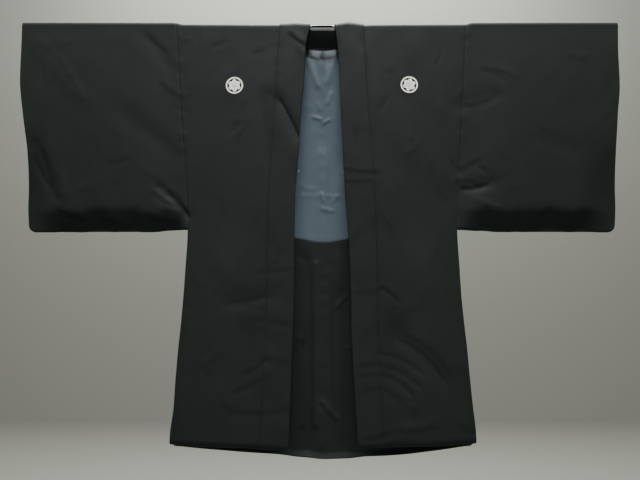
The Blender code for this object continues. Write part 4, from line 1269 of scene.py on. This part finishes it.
def make_stitches(name, x, path, level, material, slot):
    """A row of stitches: each a small pointed grain of thread lying on the cloth."""
    along = np.array((-1.0, -0.6, 0.0, 0.6, 1.0))
    girth = np.sqrt(np.clip(1 - along**2, 0, 1)) * 0.95 + 0.05
    turn = np.linspace(0, 2 * math.pi, 7)[:-1]
    dx, dp = STITCH_SLANT
    across = np.cos(turn)[None, :] * girth[:, None] * STITCH_THREAD
    up = np.sin(turn)[None, :] * girth[:, None] * STITCH_THREAD
    lengthwise = np.broadcast_to(along[:, None] * STITCH_LENGTH / 2, across.shape)
    grain_x = (lengthwise * dx - across * dp)[None]
    grain_path = (lengthwise * dp + across * dx)[None]
    place_x = x[:, None, None] + grain_x
    place_path = path[:, None, None] + grain_path
    points = drape(place_x, place_path, level + up[None]).reshape(-1, 3)
    one = capped_faces(up.shape)
    faces = [tuple(p + k * up.size for p in face) for k in range(len(x)) for face in one]
    return mesh_piece(name, points, faces, material, slot)


def twisted_loop(side, word, around=72, sides=14):
    """A tie loop: an oval ring of two-ply cord. The cord's radius swells twice in each turn round
    it, and the swellings wind along it."""
    fold = collar_edges(LOOP_DROP, side)[0]
    reach = LOOP_RADIUS + LOOP_THREAD + SEAM_GAP
    centre = drape(np.array([side * fold]), np.array([hanging_path(LOOP_DROP)]), COLLAR_WALL)[0]
    centre[0] -= side * reach
    turn = (2 * math.pi * np.arange(around) / around)[:, None]
    roll = (2 * math.pi * np.arange(sides) / sides)[None, :]
    thread = LOOP_THREAD * (0.86 + 0.14 * np.cos(2 * roll - 9 * turn))
    away = LOOP_RADIUS + thread * np.cos(roll)
    ring = np.stack(
        [away * np.cos(turn), thread * np.sin(roll) + 0 * turn, 1.25 * away * np.sin(turn)],
        axis=-1,
    )
    index = closed_round((around, sides))
    faces = grid_faces(np.concatenate([index, index[:1]], axis=0))
    points, name = (centre + ring).reshape(-1, 3), f"tie_loop_{word}"
    return mesh_piece(name, points, faces, black_thread, "black_silk", f"loop_{word}")


# ======== Hanger ========


def make_rod():
    """A round rod along the shoulder line with rounded ends: its radius against x."""
    rounding = 0.0012
    share = np.array((0.0, 0.05, 0.2, 0.5, 1.0))
    ends = share * rounding
    drawn_in = ROD_RADIUS - rounding * (1 - np.sqrt(1 - (1 - share) ** 2))
    low, high = -ROD_HALF[WEARERS_RIGHT], ROD_HALF[WEARERS_LEFT]
    x = np.concatenate([low + ends, np.linspace(low, high, 42)[1:-1], high - ends[::-1]])
    radius = np.concatenate([drawn_in, np.full(40, ROD_RADIUS), drawn_in[::-1]])
    turn = 2 * math.pi * np.arange(48) / 48
    y = -HOOK_BACK + radius[:, None] * np.cos(turn)
    z = -HOOK_RISE - ROD_DROP + radius[:, None] * np.sin(turn)
    points = np.stack([np.broadcast_to(x[:, None], y.shape), y, z], axis=-1).reshape(-1, 3)
    finish = (anodised_aluminium, "rod_aluminium", "hanger_rod")
    return mesh_piece("rod_tube", points, capped_faces(y.shape), *finish)


def make_block():
    """The moulded block: its outline pushed through from front to back, with round edges, as rings
    of the outline drawn in by an inset."""
    top = -ROD_DROP - ROD_RADIUS - SEAM_GAP - HOOK_RISE
    half, low = BLOCK_WIDTH / 2, top - BLOCK_HEIGHT
    edge = 0.0016

    def outline(inset, count=40):
        """Round-cornered box with a bowed lower side, inset from the block's own outline."""
        corner = max(BLOCK_CORNER - inset, 0.0008)
        wide, high = half - inset, top - inset
        right = np.array((wide - corner, high - corner))
        turn = np.radians(np.linspace(0, 90, 9))
        arc = corner * np.stack([np.cos(turn), np.sin(turn)], axis=-1)
        upper_right = right + arc
        upper_left = (upper_right * (-1, 1))[::-1]
        x = np.linspace(-wide, wide, count)
        bottom = low + inset - BLOCK_SAG * (1 - (x / wide) ** 2)
        return np.concatenate([upper_right, upper_left, np.stack([x, bottom], axis=-1)])

    turn = np.radians(np.linspace(0, 90, 7))
    inset, depth = edge * (1 - np.cos(turn)), BLOCK_DEPTH / 2 - edge * (1 - np.sin(turn))
    rings = list(zip(inset[::-1], -depth[::-1])) + list(zip(inset, depth))
    points = np.stack([np.insert(outline(inset), 1, y - HOOK_BACK, axis=1) for inset, y in rings])
    faces, finish = capped_faces(points.shape[:2], flip=True), (black_abs, "block_plastic")
    points = points.reshape(-1, 3)
    return mesh_piece("moulded_block", points, faces, *finish, "hanger_block", sharp=30)


def make_clip(half=0.044):
    """The block's sleeve round the rod, open in front as a window. Over the window stands its jaw,
    which has an upright face; the jaw ends where the collar begins."""
    # Angles are in degrees round the rod, 0 behind it and 90 above it; the window is from 194 to
    # 243. The jaw ends between two distances from the centre.
    jaw_y, jaw_top, corner, jaw_ends = 0.00575, 0.0031, 0.00653, (0.0218, 0.0240)
    edge = 180 - math.degrees(math.atan2(jaw_top, jaw_y))
    round_part, jaw_part = np.linspace(-117, 134, 70), np.linspace(edge, 194, 12)
    angle = np.radians(np.concatenate([round_part, np.linspace(138, edge - 2, 5), jaw_part]))
    degrees = np.degrees(angle)
    thin = ROD_RADIUS + 0.0002
    jaw = thin + (corner - thin) * smoothstep(136, edge, degrees)
    jaw = np.where(degrees >= edge - 0.01, jaw_y / np.abs(np.cos(angle)), jaw)
    x = np.array((0.0, 0.010, 0.0180, 0.0218, 0.0224, 0.0230, 0.0240, 0.030, half))
    x = np.concatenate([-x[:0:-1], x])
    here = 1 - smoothstep(*jaw_ends, np.abs(x))
    shells = []
    for radius in (
        thin + (jaw - thin)[:, None] * here,
        np.full((len(angle), len(x)), ROD_RADIUS + 0.00006),
    ):
        y = -HOOK_BACK + radius * np.cos(angle)[:, None]
        z = -HOOK_RISE - ROD_DROP + radius * np.sin(angle)[:, None]
        shells.append(np.stack(np.broadcast_arrays(x[None, :], y, z), axis=-1))
    flat = np.stack(np.broadcast_arrays(x[None, :], angle[:, None]), axis=-1)
    faces = grid_faces(numbered(flat.shape[:2]), flip=True)
    points, faces, _ = wall(*shells, faces, flat, turns=1)
    return mesh_piece("block_sleeve", points, faces, black_abs, "block_plastic", sharp=35)


def make_hook():
    """A bent wire: back over the neck from the rod, then over the rail, its end rounded."""
    rail_y, rail_z = HOOK_BACK, HOOK_RISE - RAIL_RADIUS
    bend = RAIL_RADIUS + WIRE_RADIUS
    foot = BEND * math.sqrt(0.5)
    line = [(foot + 0.0002, foot - ROD_DROP + 0.0002), *HOOK_LINE]
    for degrees in range(205, -41, -17):
        turn = math.radians(degrees)
        line.append((rail_y + bend * math.cos(turn), rail_z + bend * math.sin(turn)))
    line = np.array(line)
    length = np.concatenate([[0.0], np.cumsum(np.linalg.norm(np.diff(line, axis=0), axis=1))])
    table = np.column_stack([length, line])
    along = np.linspace(0, length[-1], 120)
    past = np.clip(1 - (length[-1] - along) / WIRE_END, 0, 0.995)
    radius = WIRE_RADIUS * np.sqrt(1 - past**2)
    y, z = (read_table(table, column, along) for column in (1, 2))
    points = np.column_stack([np.zeros(len(y)), y - HOOK_BACK, z - HOOK_RISE])
    points, faces = tube(points, radius, 20)
    return mesh_piece("wire_hook", points, faces, coated_steel, "hook_steel", "hanger_hook")


# ======== The object ========

rod = make_rod()
make_block()
make_hook()
make_clip()
bodies, sleeves, gussets, linings, facings = {}, {}, {}, {}, {}
for side, word in SIDES:
    bodies[word] = make_body(side, word)
    sleeves[word] = make_sleeve(side, word)
    gussets[word] = make_gusset(side, word)
    linings[word] = make_inner_layer("lining", side, word, NECK_ROW, LINING_ROW, blue_silk)
    facings[word] = make_inner_layer("facing", side, word, LINING_ROW, 1.0, facing_silk_painted_light)
    twisted_loop(side, word)
collar = make_collar()

# Name, x, drop, face, and how far it is turned.
crests = {
    name: make_crest(f"crest_{name}", x, face * hanging_path(drop), lean)
    for name, x, drop, face, lean in (
        ("chest_right", -0.1948, 0.1449, FRONT, 0.05),
        ("chest_left", 0.1926, 0.1431, FRONT, -0.22),
        ("back", 0.0, 0.118, BACK, math.pi),
        ("sleeve_right", -0.492, 0.098, BACK, math.pi),
        ("sleeve_left", 0.490, 0.098, BACK, math.pi),
    )
}

# Blind stitches, blue where the lining meets the facing and black where the facing meets the hem.
for side, word in SIDES:
    x = side * np.arange(STITCH_FIRST, STITCH_LAST, STITCH_APART)
    stand = LINING_WALL + SEAM_GAP + 0.0006  # just proud of the lining
    edge = body_path(x, lining_edge(x), BACK)
    for name, path, thread, slot in (
        ("lining", edge, blue_thread, "blue_lining"),
        ("hem", body_path(x, 1.0, BACK) + HEM_STITCHES, black_thread, "black_silk"),
    ):
        make_stitches(f"{name}_stitches_{word}", x, path, -stand, thread, slot)

# ---- Floor, backdrop, light and camera ----


def make_stage():
    """A pale floor that turns up into a wall behind, as one bent sheet."""
    turn = np.linspace(0, math.pi / 2, 16)
    floor_z, floor_y, wall_y, wall_z, half, bend = -2.60, -6.0, 4.20, 4.0, 5.0, 0.6
    y = np.concatenate([[floor_y], wall_y - bend + bend * np.sin(turn), [wall_y]])
    z = np.concatenate([[floor_z], floor_z + bend - bend * np.cos(turn), [wall_z]])
    points = np.stack([(np.full(len(y), x), y, z) for x in (-half, half)]).transpose(2, 0, 1)
    # Painted plaster, matt, with a fine grain that the light just catches.
    plaster, shader = new_material("painted_plaster", Base_Color=linear("#6c6d65"), Roughness=0.8)
    grain = noise(plaster, object_place(plaster), 60.0, 2.0)
    feed(plaster, shader, {"Normal": bump(plaster, grain, 0.0006)})
    faces = grid_faces(numbered(points.shape[:2]))
    mesh_object("studio_sweep", points.reshape(-1, 3), faces, plaster)


def add_light(name, place, target, size, watts, spread=180):
    """A soft white rectangular light that faces its target; spread is its beam's width in
    degrees."""
    light = bpy.data.lights.new(name, "AREA")
    light.shape = "RECTANGLE"
    light.size, light.size_y = size
    light.energy = watts
    light.spread = math.radians(spread)
    lamp = bpy.data.objects.new(name, light)
    lamp.location = place
    direction = np.array(target) - np.array(place)
    flat = math.hypot(direction[0], direction[1])
    lamp.rotation_euler = (
        math.atan2(flat, -direction[2]),
        0,
        math.atan2(direction[1], direction[0]) - math.pi / 2,
    )
    bpy.context.scene.collection.objects.link(lamp)


make_stage()
# Each light's place, target, size and watts, and a narrow beam's width.
add_light("ceiling_light", (0.0, -3.2, 8.2), (0.0, -0.2, -0.4), (6.8, 3.1), 2390.0)
add_light("neck_light", (0.0, -0.034, 1.0), (0.0, -0.04, -0.1), (0.2, 0.09), 9.5, 60)
add_light("front_fill", (0.0, -3.0, -1.0), (0.0, 0.0, -0.66), (1.0, 0.6), 0.5, 20)
add_light("back_light", (0.0, 3.4, 5.6), (0.0, 0.0, -0.45), (3.4, 1.6), 950.0)
add_light("wall_light", (0.0, 3.0, 3.0), (0.0, 4.2, 1.6), (5.0, 0.2), 150.0)


def make_world():
    """A dim even light all round, and a pale grey where the camera looks past the stage."""
    world = bpy.data.worlds.new("studio")
    world.use_nodes = True
    dim = world.node_tree.nodes["Background"]
    feed(world, dim, {"Color": linear("#dcdedc"), "Strength": 0.08})
    seen = add_node(world, "ShaderNodeLightPath").outputs["Is Camera Ray"]
    pale = add_node(world, "ShaderNodeBackground", {"Color": linear("#989994")})
    mix = {0: seen, 1: dim.outputs["Background"], 2: pale.outputs["Background"]}
    both = add_node(world, "ShaderNodeMixShader", mix)
    feed(world, world.node_tree.nodes["World Output"], {"Surface": both.outputs["Shader"]})
    bpy.context.scene.world = world


make_world()

# A 28 mm lens in front of the chest, tipped up a little.
lens = bpy.data.cameras.new("camera")
lens.lens, lens.sensor_width = 28.0, 36.0
camera = bpy.data.objects.new("camera", lens)
camera.location = (-0.0052, -1.1232, -0.6017)
camera.rotation_euler = (math.radians(90 + 5.228), 0, 0)
bpy.context.scene.collection.objects.link(camera)
bpy.context.scene.camera = camera
